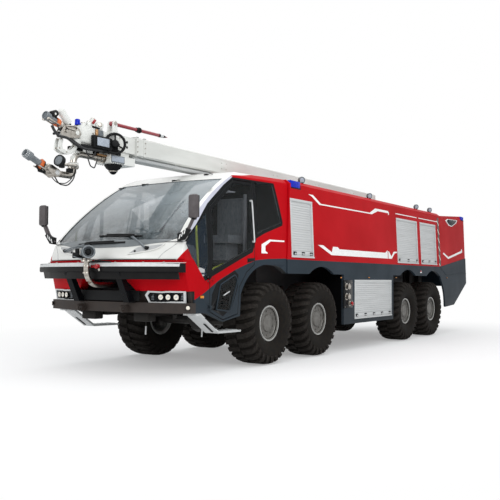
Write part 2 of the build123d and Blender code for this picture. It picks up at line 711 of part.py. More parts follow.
def bow_band(end_x, end_y, nose_y, depth, z):
    """Bar bowed forward in plan, between two heights."""
    with BuildPart() as band:
        with BuildSketch(Plane.XY.offset(z[0])):
            with BuildLine():
                ThreePointArc((-end_x, at(end_y)), (0, at(nose_y)), (end_x, at(end_y)))
                Line((end_x, at(end_y)), (end_x, at(end_y + depth)))
                ThreePointArc((end_x, at(end_y + depth)), (0, at(nose_y + depth)), (-end_x, at(end_y + depth)))
                Line((-end_x, at(end_y + depth)), (-end_x, at(end_y)))
            make_face()
        extrude(amount=z[1] - z[0])
    return band.part


FRONT_TOW_X = 450.0
FRONT_TOW_Y = -2520.0
FRONT_TOW_Z = 985.0
FRONT_TOW_T = 40.0
with BuildPart() as front_bumper:
    add(cab_form(GRILLE_SET_BACK))
    block((-FAR, FAR), (-FAR, FIREWALL_Y - SEAT), (BUMPER_LOW_Z + 20, FASCIA_LOW_Z - SEAT), mode=Mode.INTERSECT)
    add(both_sides(headlight_prism(0, headlight_back_y)), mode=Mode.SUBTRACT)
    add(bow_band(BAR_END_X - 10, FIREWALL_Y - 130, -2440.0, 130.0, (BUMPER_LOW_Z, BUMPER_TOP_Z)))
    for hand in (1, -1):
        rail_end = sorted((hand * RAIL_IN_X, hand * (RAIL_IN_X + RAIL_W)))
        block(rail_end, (-2400.0, RAIL_FRONT_Y - SEAT), (BUMPER_LOW_Z, BUMPER_TOP_Z))
        lug_x = (hand * FRONT_TOW_X - FRONT_TOW_T / 2, hand * FRONT_TOW_X + FRONT_TOW_T / 2)
        block(lug_x, (FRONT_TOW_Y, -2350.0), (FRONT_TOW_Z - 55, FRONT_TOW_Z + 55))
        rod_x(lug_x, FRONT_TOW_Y, FRONT_TOW_Z, 55.0)
        rod_x(lug_x, FRONT_TOW_Y, FRONT_TOW_Z, 25.0, mode=Mode.SUBTRACT)
front_bumper.part.label = "front_bumper"
export_step(front_bumper.part, "parts/front_bumper.step")

with BuildPart() as bumper_bar:
    add(bow_band(BAR_END_X, BAR_END_Y, BAR_NOSE_Y, BAR_DEPTH, BAR_Z))
    for hand in (1, -1):
        strut_x = (hand * BAR_STRUT_X - BAR_STRUT_W / 2, hand * BAR_STRUT_X + BAR_STRUT_W / 2)
        brace = (
            (-2740.0, BAR_Z[0] + 10), (-2640.0, BAR_Z[0] + 10), (-2400.0, BUMPER_TOP_Z + SEAT),
            (-2440.0, BUMPER_TOP_Z + SEAT), (-2520.0, BUMPER_TOP_Z + SEAT),
        )
        add(side_prism(brace, strut_x))
bumper_bar.part.label = "bumper_bar"
export_step(bumper_bar.part, "parts/bumper_bar.step")

# Entry steps: a bent plate under each cab door
STEP_X = (1190.0, 1440.0)
STEP_PLATE = (
    (-2030.0, CAB_SILL_Z - SEAT), (-1930.0, CAB_SILL_Z - SEAT), (-1480.0, 640.0), (-890.0, 632.0),
    (-890.0, 602.0), (-1490.0, 608.0), (-1945.0, 893.0), (-2030.0, 893.0),
)
with BuildPart() as entry_steps:
    add(both_sides(side_prism(STEP_PLATE, STEP_X)))
entry_steps.part.label = "entry_steps"
export_step(entry_steps.part, "parts/entry_steps.step")

# Beacons fill a notch in the body's upper corners: y from, y to, x from, z from
BEACON_FRONT = (660.0, 1020.0, 1290.0, 3045.0)
BEACON_REAR = (10300.0, 10560.0, 1300.0, 3130.0)


def beacon_notch(row, gap):
    """Left-hand corner block of a beacon, drawn in by a gap."""
    y0, y1, x0, z0 = row
    with BuildPart() as notch:
        block((x0 + gap, 1600.0), (y0 + gap, y1 - gap), (z0 + gap, TOP))
    return notch.part


# Upper body with its roof deck and shutter recesses
body_section = [
    (BODY_HALF_W, WAIST_Z), (wall_x(EAVE_Z), EAVE_Z), (wall_x(EAVE_Z) - ROOF_CHAMFER, ROOF_Z),
]
body_section += [(-x, z) for x, z in reversed(body_section)]


def body_slab(y, z, depth):
    """Left-hand slab in the leaning wall, from a table row and two depths behind the wall's face."""
    corners = [(wall_x(z[0]) - depth[0], z[0]), (wall_x(z[1]) - depth[0], z[1])]
    corners += [(wall_x(z[1]) - depth[1], z[1]), (wall_x(z[0]) - depth[1], z[0])]
    with BuildPart() as slab:
        with Locations((0, at(y[1]), 0)):
            add(extrude(outline(Plane.XZ, corners), amount=y[1] - y[0], mode=Mode.PRIVATE))
    return slab.part


body_side = (
    (SEAM_Y + PANEL_GAP, WAIST_Z), (seam_y(ROOF_Z) + PANEL_GAP, ROOF_Z),
    (seam_y(ROOF_Z, REAR_SEAM_Y), ROOF_Z), (REAR_SEAM_Y, WAIST_Z),
)
with BuildPart() as body_form:
    with Locations((0, at(9000.0), 0)):
        add(extrude(outline(Plane.XZ, body_section), amount=9000.0, mode=Mode.PRIVATE))
    extrude(side_face(body_side), amount=FAR, both=True, mode=Mode.INTERSECT)
with BuildPart() as upper_body:
    add(body_form.part)
    block((-DECK_HALF_W, DECK_HALF_W), DECK_Y, (DECK_Z, ROOF_Z + 10), mode=Mode.SUBTRACT)
    for y0, y1, z0, z1 in SHUTTER_TABLE:
        add(both_sides(body_slab((y0, y1), (z0, z1), (-20.0, SHUTTER_RECESS))), mode=Mode.SUBTRACT)
    add(both_sides(beacon_notch(BEACON_FRONT, 0)), mode=Mode.SUBTRACT)
    rod_z(0, SLEW_Y, (DECK_Z - 5, DECK_Z + SEAT + SLEW_RING_H), SLEW_RING_R)
    cradle_points = (
        (CRADLE_Y - 140, ROOF_Z - 5), (CRADLE_Y + 140, ROOF_Z - 5), (CRADLE_Y + 70, BOOM_LOW_Z - SEAT),
        (CRADLE_Y - 70, BOOM_LOW_Z - SEAT),
    )
    add(wide_prism(cradle_points, BOOM_HALF))
upper_body.part.label = "upper_body"
export_step(upper_body.part, "parts/upper_body.step")

with BuildPart() as tank_base:
    block((-TANK_BASE_HALF_W, TANK_BASE_HALF_W), TANK_BASE_Y, (RAIL_TOP_Z + SEAT, WAIST_Z - SEAT))
tank_base.part.label = "tank_base"
export_step(tank_base.part, "parts/tank_base.step")

# Grey skirts with the wheel arches, and the lockers behind the lower shutters
with BuildPart() as skirt_left:
    block((BODY_HALF_W - SKIRT_T, BODY_HALF_W), (SEAM_Y + PANEL_GAP, REAR_SEAM_Y), (SKIRT_LOW_Z, WAIST_Z - SEAT))
    block((BODY_HALF_W - LOCKER_DEPTH, BODY_HALF_W), LOCKER_Y, (LOCKER_LOW_Z, WAIST_Z - SEAT))
    for axle_y, steers in AXLE_TABLE:
        rod_x((0, BODY_HALF_W + 10), axle_y, ARCH_Z, ARCH_R, mode=Mode.SUBTRACT)
    y0, y1, z0, z1 = LOWER_SHUTTER
    block((BODY_HALF_W - SHUTTER_RECESS, BODY_HALF_W + 10), (y0, y1), (z0, z1), mode=Mode.SUBTRACT)
with BuildPart() as body_skirts:
    add(both_sides(skirt_left.part))
body_skirts.part.label = "body_skirts"
export_step(body_skirts.part, "parts/body_skirts.step")

with BuildPart() as shutters_left:
    for y0, y1, z0, z1 in SHUTTER_TABLE:
        depth = (SHUTTER_RECESS - SHUTTER_T, SHUTTER_RECESS - SEAT)
        add(body_slab((y0 + SEAT, y1 - SEAT), (z0 + SEAT, z1 - SEAT), depth))
    y0, y1, z0, z1 = LOWER_SHUTTER
    shutter_x = (BODY_HALF_W - SHUTTER_RECESS + SEAT, BODY_HALF_W - SHUTTER_RECESS + SHUTTER_T)
    block(shutter_x, (y0 + SEAT, y1 - SEAT), (z0 + SEAT, z1 - SEAT))
with BuildPart() as roller_shutters:
    add(both_sides(shutters_left.part))
roller_shutters.part.label = "roller_shutters"
export_step(roller_shutters.part, "parts/roller_shutters.step")

# Hose outlets on the left: y, z and radius of each pipe
OUTLET_TABLE = ((2750.0, 1290.0, 48.0), (2750.0, 1090.0, 48.0), (2890.0, 950.0, 32.0))
OUTLET_L = 70.0
with BuildPart() as hose_outlets:
    for y, z, radius in OUTLET_TABLE:
        prism_x((BODY_HALF_W + SEAT, BODY_HALF_W + OUTLET_L), y, z, radius, PLAIN_SIDES)
hose_outlets.part.label = "hose_outlets"
export_step(hose_outlets.part, "parts/hose_outlets.step")

# Rear module: red housing over a grey tail, with the engine inside
with BuildPart() as rear_form:
    add(wide_prism([(y + PANEL_GAP, z) for y, z in REAR_UPPER[:2]] + list(REAR_UPPER[2:]), BODY_HALF_W - 5))
    chamfer(rear_form.edges().filter_by(Axis.X).group_by(Axis.Z)[-1], 25)
    with BuildSketch(Plane.XZ.offset(-at(11000.0))):
        with BuildLine():
            Polyline(
                (BODY_HALF_W - 5, 1700.0), (wall_x(EAVE_Z) - 5, EAVE_Z), (wall_x(EAVE_Z) - 60, 3290.0),
                (60 - wall_x(EAVE_Z), 3290.0), (5 - wall_x(EAVE_Z), EAVE_Z), (5 - BODY_HALF_W, 1700.0), close=True,
            )
        make_face()
    extrude(amount=3000.0, mode=Mode.INTERSECT)
with BuildPart() as rear_housing:
    add(rear_form.part)
    add(both_sides(beacon_notch(BEACON_REAR, 0)), mode=Mode.SUBTRACT)
rear_housing.part.label = "rear_housing"
export_step(rear_housing.part, "parts/rear_housing.step")

with BuildPart() as beacons:
    for form, row in ((body_form, BEACON_FRONT), (rear_form, BEACON_REAR)):
        with BuildPart(mode=Mode.PRIVATE) as beacon:
            add(form.part)
            add(beacon_notch(row, SEAT), mode=Mode.INTERSECT)
        add(both_sides(beacon.part))
beacons.part.label = "beacons"
export_step(beacons.part, "parts/beacons.step")

rear_lower = [(y + PANEL_GAP if y < REAR_SEAM_Y + 50 else y, z) for y, z in REAR_LOWER]
with BuildPart() as rear_tail:
    add(wide_prism(rear_lower, BODY_HALF_W - 5))
    block((REAR_WALL - BODY_HALF_W, BODY_HALF_W - REAR_WALL), (8000.0, 10420.0), (0, TAIL_CEILING_Z), mode=Mode.SUBTRACT)
    rod_x((-FAR, FAR), AXLE_TABLE[-1][0], ARCH_Z, ARCH_R, mode=Mode.SUBTRACT)
rear_tail.part.label = "rear_tail"
export_step(rear_tail.part, "parts/rear_tail.step")

with BuildPart() as engine_block:
    engine_z = (RAIL_LOW_Z + RAIL_TOP_Z + CROSS_MEMBER_H) / 2 + SEAT
    block((-ENGINE_X, ENGINE_X), ENGINE_Y, (engine_z, engine_z + ENGINE_H))
engine_block.part.label = "engine_block"
export_step(engine_block.part, "parts/engine_block.step")

# Boom turntable: the turning base with its cheeks, on the deck's slew ring
table_z = DECK_Z + 2 * SEAT + SLEW_RING_H
cheek_x = BOOM_HALF + CHEEK_GAP
eye_ear_x = CYLINDER_EYE_W / 2 + EYE_SIDE_GAP
with BuildPart() as turntable:
    rod_z(0, SLEW_Y, (table_z, table_z + TURNTABLE_T), SLEW_RING_R)
    block((-110.0, 110.0), (CYLINDER_FOOT[0] - 60, SLEW_Y), (table_z, table_z + TURNTABLE_T))
    for hand in (1, -1):
        cheek = sorted((hand * cheek_x, hand * (cheek_x + CHEEK_T)))
        cheek_points = (
            (BOOM_PIVOT_Y - 260, table_z), (BOOM_PIVOT_Y + 140, table_z), (BOOM_PIVOT_Y + 90, BOOM_PIVOT_Z + 20),
            (BOOM_PIVOT_Y - 90, BOOM_PIVOT_Z + 20),
        )
        add(side_prism(cheek_points, cheek))
        prism_x(cheek, BOOM_PIVOT_Y, BOOM_PIVOT_Z, 95.0, PIPE_SIDES)
        ear = sorted((hand * eye_ear_x, hand * (eye_ear_x + EYE_CHEEK_T)))
        ear_points = (
            (CYLINDER_FOOT[0] - 55, table_z), (CYLINDER_FOOT[0] + 90, table_z),
            (CYLINDER_FOOT[0] + 50, CYLINDER_FOOT[1]), (CYLINDER_FOOT[0] - 50, CYLINDER_FOOT[1]),
        )
        add(side_prism(ear_points, ear))
        prism_x(ear, *CYLINDER_FOOT, 54.0, PIPE_SIDES)
    rod_x((-cheek_x - CHEEK_T, cheek_x + CHEEK_T), BOOM_PIVOT_Y, BOOM_PIVOT_Z, BOOM_PIN_R)
    rod_x((-eye_ear_x - EYE_CHEEK_T, eye_ear_x + EYE_CHEEK_T), *CYLINDER_FOOT, CYLINDER_PIN_R)
turntable.part.label = "turntable"
export_step(turntable.part, "parts/turntable.step")

# Lift cylinder between the turntable and the boom, drawn along its own line
foot = Vector(0, at(CYLINDER_FOOT[0]), CYLINDER_FOOT[1])
head = Vector(0, at(CYLINDER_HEAD[0]), CYLINDER_HEAD[1])
reach = (head - foot).length
cylinder_line = Plane(origin=foot, x_dir=(1, 0, 0), z_dir=head - foot)
with BuildPart() as lift_barrel:
    rod_x((-CYLINDER_EYE_W / 2, CYLINDER_EYE_W / 2), *CYLINDER_FOOT, CYLINDER_EYE_R)
    with BuildSketch(cylinder_line.offset(CYLINDER_EYE_R / 2)):
        Rectangle(CYLINDER_EYE_W, CYLINDER_EYE_R)
    extrude(amount=CYLINDER_EYE_R)
    with BuildSketch(cylinder_line.offset(CYLINDER_EYE_R + 22)):
        Circle(CYLINDER_R)
    extrude(amount=CYLINDER_BARREL_L - CYLINDER_EYE_R - 22)
    with BuildSketch(cylinder_line.offset(CYLINDER_ROD_TAIL - 20)):
        Circle(CYLINDER_ROD_R + SEAT)
    extrude(amount=CYLINDER_BARREL_L, mode=Mode.SUBTRACT)
    rod_x((-100.0, 100.0), *CYLINDER_FOOT, CYLINDER_PIN_R + SEAT, mode=Mode.SUBTRACT)
lift_barrel.part.label = "lift_barrel"
export_step(lift_barrel.part, "parts/lift_barrel.step")

with BuildPart() as lift_rod:
    with BuildSketch(cylinder_line.offset(CYLINDER_ROD_TAIL)):
        Circle(CYLINDER_ROD_R)
    extrude(amount=reach - CYLINDER_ROD_TAIL - CYLINDER_EYE_R + 12)
    rod_x((-CYLINDER_EYE_W / 2, CYLINDER_EYE_W / 2), *CYLINDER_HEAD, CYLINDER_EYE_R)
    rod_x((-100.0, 100.0), *CYLINDER_HEAD, CYLINDER_PIN_R, mode=Mode.SUBTRACT)
lift_rod.part.label = "lift_rod"
export_step(lift_rod.part, "parts/lift_rod.step")

# Boom: a hollow outer section with guide pads at its mouth, and the inner section in it
boom_top_z = BOOM_LOW_Z + 2 * BOOM_HALF
boom_z = BOOM_LOW_Z + BOOM_HALF
bore_half = BOOM_HALF - BOOM_WALL
inner_half = bore_half - BOOM_PLAY
WATERWAY_X = 72.0
WATERWAY_R = 34.0
WATERWAY_END_Y = 150.0
waterway_z = BOOM_LOW_Z - WATERWAY_R - 4
with BuildPart() as boom_outer:
    block((-BOOM_HALF, BOOM_HALF), (BOOM_FRONT_Y, BOOM_REAR_Y), (BOOM_LOW_Z, boom_top_z))
    chamfer(boom_outer.edges().filter_by(Axis.Y), 22)
    block(
        (-bore_half, bore_half), (BOOM_FRONT_Y + BOOM_PAD_L, BOOM_REAR_Y - 420),
        (boom_z - bore_half, boom_z + bore_half), mode=Mode.SUBTRACT,
    )
    guide = inner_half + SEAT
    block(
        (-guide, guide), (BOOM_FRONT_Y - 10, BOOM_FRONT_Y + BOOM_PAD_L + 10), (boom_z - guide, boom_z + guide),
        mode=Mode.SUBTRACT,
    )
    rod_x((-FAR, FAR), BOOM_PIVOT_Y, BOOM_PIVOT_Z, BOOM_PIN_R + SEAT, mode=Mode.SUBTRACT)
boom_outer.part.label = "boom_outer"
export_step(boom_outer.part, "parts/boom_outer.step")

# Under the boom: the water tubes on their brackets, and the ears of the lift cylinder
fitting_top_z = BOOM_LOW_Z - SEAT
with BuildPart() as boom_fittings:
    for hand in (1, -1):
        tube_run = ((hand * WATERWAY_X, BOOM_FRONT_Y, waterway_z), (hand * WATERWAY_X, WATERWAY_END_Y, waterway_z))
        add(pipe(tube_run, WATERWAY_R))
        ear = sorted((hand * eye_ear_x, hand * (eye_ear_x + EYE_CHEEK_T)))
        ear_points = (
            (CYLINDER_HEAD[0] - 90, fitting_top_z), (CYLINDER_HEAD[0] + 90, fitting_top_z),
            (CYLINDER_HEAD[0] + 46, CYLINDER_HEAD[1]), (CYLINDER_HEAD[0] - 46, CYLINDER_HEAD[1]),
        )
        add(side_prism(ear_points, ear))
        prism_x(ear, *CYLINDER_HEAD, 50.0, PIPE_SIDES)
    for y in (BOOM_FRONT_Y + 60, -900.0, WATERWAY_END_Y - 60):
        block((-WATERWAY_X - 20, WATERWAY_X + 20), (y - 30, y + 30), (waterway_z - 10, fitting_top_z))
boom_fittings.part.label = "boom_fittings"
export_step(boom_fittings.part, "parts/boom_fittings.step")

with BuildPart() as boom_inner:
    block(
        (-inner_half, inner_half), (INNER_FRONT_Y, INNER_FRONT_Y + INNER_L), (boom_z - inner_half, boom_z + inner_half)
    )
boom_inner.part.label = "boom_inner"
export_step(boom_inner.part, "parts/boom_inner.step")

# Boom head: frame, cabinet, lamp housing and the water pipe down to the monitor flange
HEAD_BACK_Y = INNER_FRONT_Y - SEAT
FLANGE_Y = -3110.0
FLANGE_Z = 3075.0
FLANGE_R = 78.0
PIPE_R = 46.0
PIPE_Z = 3240.0
LANCE_X = 140.0
LANCE_Y = -2470.0
LANCE_Z = 3770.0
LANCE_R = 27.0
LANCE_TIP_Y = -1190.0
with BuildPart() as boom_head:
    block((-132.0, 132.0), (-2640.0, HEAD_BACK_Y), (3375.0, 3625.0))
    block((-112.0, 112.0), (-2980.0, -2640.0), (3460.0, 3660.0))
    block((-150.0, 150.0), (-2510.0, -1975.0), (3175.0, 3300.0))
    block((-100.0, 100.0), (-2510.0, HEAD_BACK_Y), (3295.0, 3380.0))
    pipe_route = (
        (0, -2500.0, PIPE_Z), (0, FLANGE_Y + 75, PIPE_Z), (0, FLANGE_Y, PIPE_Z - 75), (0, FLANGE_Y, FLANGE_Z),
    )
    add(pipe(pipe_route, PIPE_R))
    prism_z(0, FLANGE_Y, (FLANGE_Z - 15, FLANGE_Z + 15), FLANGE_R, PLAIN_SIDES)
    block((-30.0, 30.0), (-2900.0, -2760.0), (PIPE_Z, 3465.0))
    for x in (LANCE_X - 62, LANCE_X + 38):
        lug = ((LANCE_Y - 60, 3620.0), (LANCE_Y + 60, 3620.0), (LANCE_Y + 40, LANCE_Z), (LANCE_Y - 40, LANCE_Z))
        add(side_prism(lug, (x, x + 24)))
        prism_x((x, x + 24), LANCE_Y, LANCE_Z, 42.0, PIPE_SIDES)
    block((LANCE_X - 62, LANCE_X + 62), (LANCE_Y - 60, LANCE_Y + 60), (3600.0, 3640.0))
    rod_x((LANCE_X - 62, LANCE_X + 62), LANCE_Y, LANCE_Z, 14.0)
boom_head.part.label = "boom_head"
export_step(boom_head.part, "parts/boom_head.step")

with BuildPart() as piercing_lance:
    rod_x((LANCE_X - 38 + RUNNING, LANCE_X + 38 - RUNNING), LANCE_Y, LANCE_Z, 36.0)
    add(pipe(((LANCE_X, LANCE_Y, LANCE_Z), (LANCE_X, LANCE_TIP_Y - 120, LANCE_Z)), LANCE_R))
    with BuildPart(mode=Mode.PRIVATE) as lance_tip:
        for y, radius in ((LANCE_TIP_Y - 120, LANCE_R), (LANCE_TIP_Y, 3.0)):
            with BuildSketch(Plane(origin=(LANCE_X, at(y), LANCE_Z), z_dir=(0, 1, 0))):
                RegularPolygon(radius, PIPE_SIDES)
        loft()
    add(lance_tip.part)
    rod_x((-FAR, FAR), LANCE_Y, LANCE_Z, 14.0 + SEAT, mode=Mode.SUBTRACT)
piercing_lance.part.label = "piercing_lance"
export_step(piercing_lance.part, "parts/piercing_lance.step")

# Head monitor: elbow that turns under the flange, and the nozzle that tilts on it
TILT_Y = -3480.0
TILT_Z = 2905.0
TILT_R = 62.0
TILT_HALF_W = 75.0
NOZZLE_RISE = 23.6
with BuildPart() as head_monitor:
    prism_z(0, FLANGE_Y, (FLANGE_Z - 15 - SEAT - 40, FLANGE_Z - 15 - SEAT), FLANGE_R, PLAIN_SIDES)
    elbow_route = (
        (0, FLANGE_Y, FLANGE_Z - 50), (0, FLANGE_Y, TILT_Z + 60), (0, FLANGE_Y - 60, TILT_Z), (0, TILT_Y, TILT_Z),
    )
    add(pipe(elbow_route, PIPE_R))
    rod_x((-TILT_HALF_W, TILT_HALF_W), TILT_Y, TILT_Z, TILT_R)
head_monitor.part.label = "head_monitor"
export_step(head_monitor.part, "parts/head_monitor.step")

# Nozzle outline along its axis: distance from the tilt axis, radius
NOZZLE_PROFILE = (
    (78.0, 58.0), (150.0, 58.0), (160.0, 88.0), (215.0, 88.0), (225.0, 66.0), (330.0, 60.0),
    (420.0, 84.0), (530.0, 84.0), (545.0, 70.0),
)


def nozzle(profile, y, z, rise):
    """Nozzle turned about its own axis, pointing forwards and tilted up."""
    base = Plane(origin=(0, at(y), z), x_dir=(1, 0, 0), z_dir=(0, -cos(radians(rise)), sin(radians(rise))))
    with BuildPart() as turned:
        for (low, low_r), (high, high_r) in zip(profile, profile[1:]):
            with BuildPart(mode=Mode.PRIVATE) as stage:
                for distance, radius in ((low, low_r), (high, high_r)):
                    with BuildSketch(base.offset(distance)):
                        RegularPolygon(radius, PLAIN_SIDES)
                loft()
            add(stage.part)
    return turned.part


with BuildPart() as head_nozzle:
    add(nozzle(NOZZLE_PROFILE, TILT_Y, TILT_Z, NOZZLE_RISE))
    tilt_plane = Plane(origin=(0, at(TILT_Y), TILT_Z), x_dir=(0, -cos(radians(NOZZLE_RISE)), sin(radians(NOZZLE_RISE))), z_dir=(1, 0, 0))
    for low in (TILT_HALF_W + SEAT, -TILT_HALF_W - SEAT - 16):
        with BuildSketch(tilt_plane.offset(low)):
            Circle(50)
            with Locations((70, 0)):
                Rectangle(140, 80)
        extrude(amount=16)
    with BuildSketch(tilt_plane.offset(-TILT_HALF_W - SEAT - 16)):
        with Locations((110, 0)):
            Rectangle(60, 80)
    extrude(amount=2 * (TILT_HALF_W + SEAT + 16))
head_nozzle.part.label = "head_nozzle"
export_step(head_nozzle.part, "parts/head_nozzle.step")

# Front monitor on its feed pipe ahead of the bumper bar
MONITOR_X = 60.0
MONITOR_Y = -2880.0
MONITOR_Z = 1700.0
MONITOR_YAW = 50.0
MONITOR_PIPE_R = 40.0
MONITOR_R = 78.0
MONITOR_TILT_Z = 1805.0
MONITOR_FLANGE_T = 30.0
with BuildPart() as monitor_pipe:
    feed_route = (
        (MONITOR_X, RECESS_BACK_Y - SEAT, 1330.0), (MONITOR_X, MONITOR_Y + 130, 1330.0),
        (MONITOR_X, MONITOR_Y, 1460.0), (MONITOR_X, MONITOR_Y, MONITOR_Z),
    )
    add(pipe(feed_route, MONITOR_PIPE_R))
    prism_z(MONITOR_X, MONITOR_Y, (MONITOR_Z - 25, MONITOR_Z), MONITOR_R, PLAIN_SIDES)
monitor_pipe.part.label = "monitor_pipe"
export_step(monitor_pipe.part, "parts/monitor_pipe.step")

monitor_turn = Location((MONITOR_X, at(MONITOR_Y), MONITOR_TILT_Z), (0, 0, MONITOR_YAW))
with BuildPart() as monitor_swivel:
    prism_z(MONITOR_X, MONITOR_Y, (MONITOR_Z + SEAT, MONITOR_Z + MONITOR_FLANGE_T), MONITOR_R, PLAIN_SIDES)
    prism_z(MONITOR_X, MONITOR_Y, (MONITOR_Z + MONITOR_FLANGE_T - 5, MONITOR_TILT_Z), 50.0, PLAIN_SIDES)
    with Locations(monitor_turn * Location((0, 0, 0), (0, 90, 0))):
        Cylinder(60, 150)
monitor_swivel.part.label = "monitor_swivel"
export_step(monitor_swivel.part, "parts/monitor_swivel.step")

with BuildPart() as monitor_nozzle:
    with Locations(monitor_turn):
        for hand in (1, -1):
            with Locations((hand * (75 + SEAT + 8), -50, 0)):
                Box(16, 200, 90)
        with Locations((0, -115, 0)):
            Box(166, 70, 90)
        with Locations(Location((0, -280, 0), (90, 0, 0))):
            Cone(95, 70, 300)
monitor_nozzle.part.label = "monitor_nozzle"
export_step(monitor_nozzle.part, "parts/monitor_nozzle.step")

# Mirrors on arms from the cab's front corners
MIRROR_X = (1495.0, 1665.0)
MIRROR_Y = (-2330.0, -2240.0)
MIRROR_Z = (2280.0, 2640.0)
with BuildPart() as mirror_left:
    block((1250.0, 1345.0), (-2340.0, -2150.0), (1985.0, 2050.0))
    add(cab_form(-SEAT), mode=Mode.SUBTRACT)
    block(MIRROR_X, MIRROR_Y, MIRROR_Z)
    add(pipe(((1300.0, -2285.0, 2015.0), (1430.0, -2285.0, 2060.0), (1580.0, -2285.0, 2320.0)), 24.0))
with BuildPart() as mirrors:
    add(both_sides(mirror_left.part))
mirrors.part.label = "mirrors"
export_step(mirrors.part, "parts/mirrors.step")

# Beacons in the body's upper corners, and floodlights along the roof edges
with BuildPart() as roof_lamps:
    for y in (900.0 + 350, 4250.0, 7060.0, 8030.0):
        with BuildPart(mode=Mode.PRIVATE) as lamp:
            block((1270.0, 1310.0), (y - 20, y + 20), (ROOF_Z + SEAT, ROOF_Z + 40))
            block((1240.0, 1340.0), (y - 35, y + 35), (ROOF_Z + 35, ROOF_Z + 115))
        add(both_sides(lamp.part))
roof_lamps.part.label = "roof_lamps"
export_step(roof_lamps.part, "parts/roof_lamps.step")

# Cab interior: dashboard with column and wheel, and three seats
floor_top_z = floor_z + CAB_FLOOR_T
DASH_OUTLINE = (
    (-2004.0, floor_top_z + SEAT), (-2004.0, 1960.0), (-1780.0, 1930.0), (-1640.0, 1790.0),
    (-1720.0, 1640.0), (-1900.0, floor_top_z + SEAT),
)
STEERING_WHEEL_R = 225.0
# Seats: x, y and height of the floor below
SEAT_TABLE = ((0.0, -1260.0, floor_top_z), (780.0, -420.0, CAB_DECK_Z), (-780.0, -420.0, CAB_DECK_Z))
SEAT_HALF_W = 250.0
with BuildPart() as cab_interior:
    add(wide_prism(DASH_OUTLINE, 1180.0))
    wheel_plane = Plane(origin=(0, at(-1560.0), 1905.0), x_dir=(1, 0, 0), z_dir=(0, 0.5, 0.866))
    with BuildSketch(wheel_plane):
        RegularPolygon(STEERING_WHEEL_R, PLAIN_SIDES)
        RegularPolygon(STEERING_WHEEL_R - 32, PLAIN_SIDES, mode=Mode.SUBTRACT)
        Rectangle(2 * STEERING_WHEEL_R - 40, 45)
    extrude(amount=28)
    with BuildSketch(wheel_plane.offset(14)):
        RegularPolygon(35, PIPE_SIDES)
    extrude(amount=-240)
    for x, y, z in SEAT_TABLE:
        base_h = 420.0 if z < CAB_DECK_Z else 300.0
        across = (x - SEAT_HALF_W, x + SEAT_HALF_W)
        block((x - 160, x + 160), (y - 200, y + 150), (z + SEAT, z + base_h))
        block(across, (y - 260, y + 220), (z + base_h - 10, z + base_h + 120))
        block(across, (y + 120, y + 230), (z + base_h + 100, z + base_h + 760))
cab_interior.part.label = "cab_interior"
export_step(cab_interior.part, "parts/cab_interior.step")
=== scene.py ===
from math import cos, pi, radians, sin, sqrt

import bmesh
import bpy
from mathutils import Matrix, Vector


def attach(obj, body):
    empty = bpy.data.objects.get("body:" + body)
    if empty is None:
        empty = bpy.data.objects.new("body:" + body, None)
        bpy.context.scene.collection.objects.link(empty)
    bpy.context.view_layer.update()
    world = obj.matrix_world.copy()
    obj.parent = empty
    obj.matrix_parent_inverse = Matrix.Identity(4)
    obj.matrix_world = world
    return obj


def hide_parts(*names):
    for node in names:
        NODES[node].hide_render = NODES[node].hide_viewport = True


# The looks of an airport fire truck, in metres. X points to the vehicle's left, the front faces -Y.
# Every y below is measured back from the first axle, and at() or spot() places it.

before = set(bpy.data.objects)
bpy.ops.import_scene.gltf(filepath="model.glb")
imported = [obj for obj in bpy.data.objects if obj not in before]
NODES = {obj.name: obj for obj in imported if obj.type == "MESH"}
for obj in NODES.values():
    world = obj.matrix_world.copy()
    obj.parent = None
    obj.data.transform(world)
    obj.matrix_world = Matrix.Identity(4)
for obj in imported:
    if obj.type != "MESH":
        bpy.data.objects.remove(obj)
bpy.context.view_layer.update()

AXLE_1_Y = -3.2913
AXLES_Y = (0.0, 1.73, 6.08, 7.81)
TYRE_R = 0.69
TRACK_HALF = 1.19

BODY_HALF_W = 1.49
WAIST_Z = 1.78  # above it the body walls lean in, by WALL_LEAN metres a metre
WALL_LEAN = 0.045
UP, LEFT, BACK = Vector((0, 0, 1)), Vector((1, 0, 0)), Vector((0, 1, 0))

# Cab outline by height: z, half-width and y at the front corner, y of the nose, half-width at the back
CAB_BACK_Y = 0.9
CAB_SECTIONS = (
    (0.75, 1.42, -2.08, -2.29, 1.455),
    (1.25, 1.412, -2.17, -2.43, 1.475),
    (1.7, 1.395, -2.3, -2.62, 1.49),
    (1.97, 1.335, -2.24, -2.52, 1.482),
    (2.3, 1.27, -1.95, -2.18, 1.467),
    (2.6, 1.222, -1.6, -1.79, 1.453),
    (2.85, 1.192, -1.25, -1.4, 1.442),
    (3.12, 1.17, -0.78, -0.88, 1.43),
)


# Camera at the photograph's place, lamps, world and floor


def at(y):
    """Place along the vehicle of a distance behind the first axle."""
    return AXLE_1_Y + y


def spot(x, y, z):
    """Point from x, y behind the first axle, and z."""
    return Vector((x, at(y), z))


camera = bpy.data.objects.new("camera", bpy.data.cameras.new("camera"))
bpy.context.collection.objects.link(camera)
bpy.context.scene.camera = camera
camera.data.lens = 52.14
camera.data.sensor_width = 36.0
camera.data.clip_end = 200.0
azimuth, pitch, roll = radians(33.7), radians(2.21), radians(-0.37)
facing = Vector((-sin(azimuth) * cos(pitch), cos(azimuth) * cos(pitch), sin(pitch)))
camera.rotation_mode = "QUATERNION"
upright = facing.to_track_quat("-Z", "Y")
camera.rotation_quaternion = Matrix.Rotation(roll, 3, facing).to_quaternion() @ upright
camera.location = spot(7.92, -10.36, 1.45)


def linear(code):
    """Linear colour of an sRGB hex code."""
    parts = [int(code[i:i + 2], 16) / 255 for i in (1, 3, 5)]
    return (*(c / 12.92 if c <= 0.04045 else ((c + 0.055) / 1.055) ** 2.4 for c in parts), 1.0)


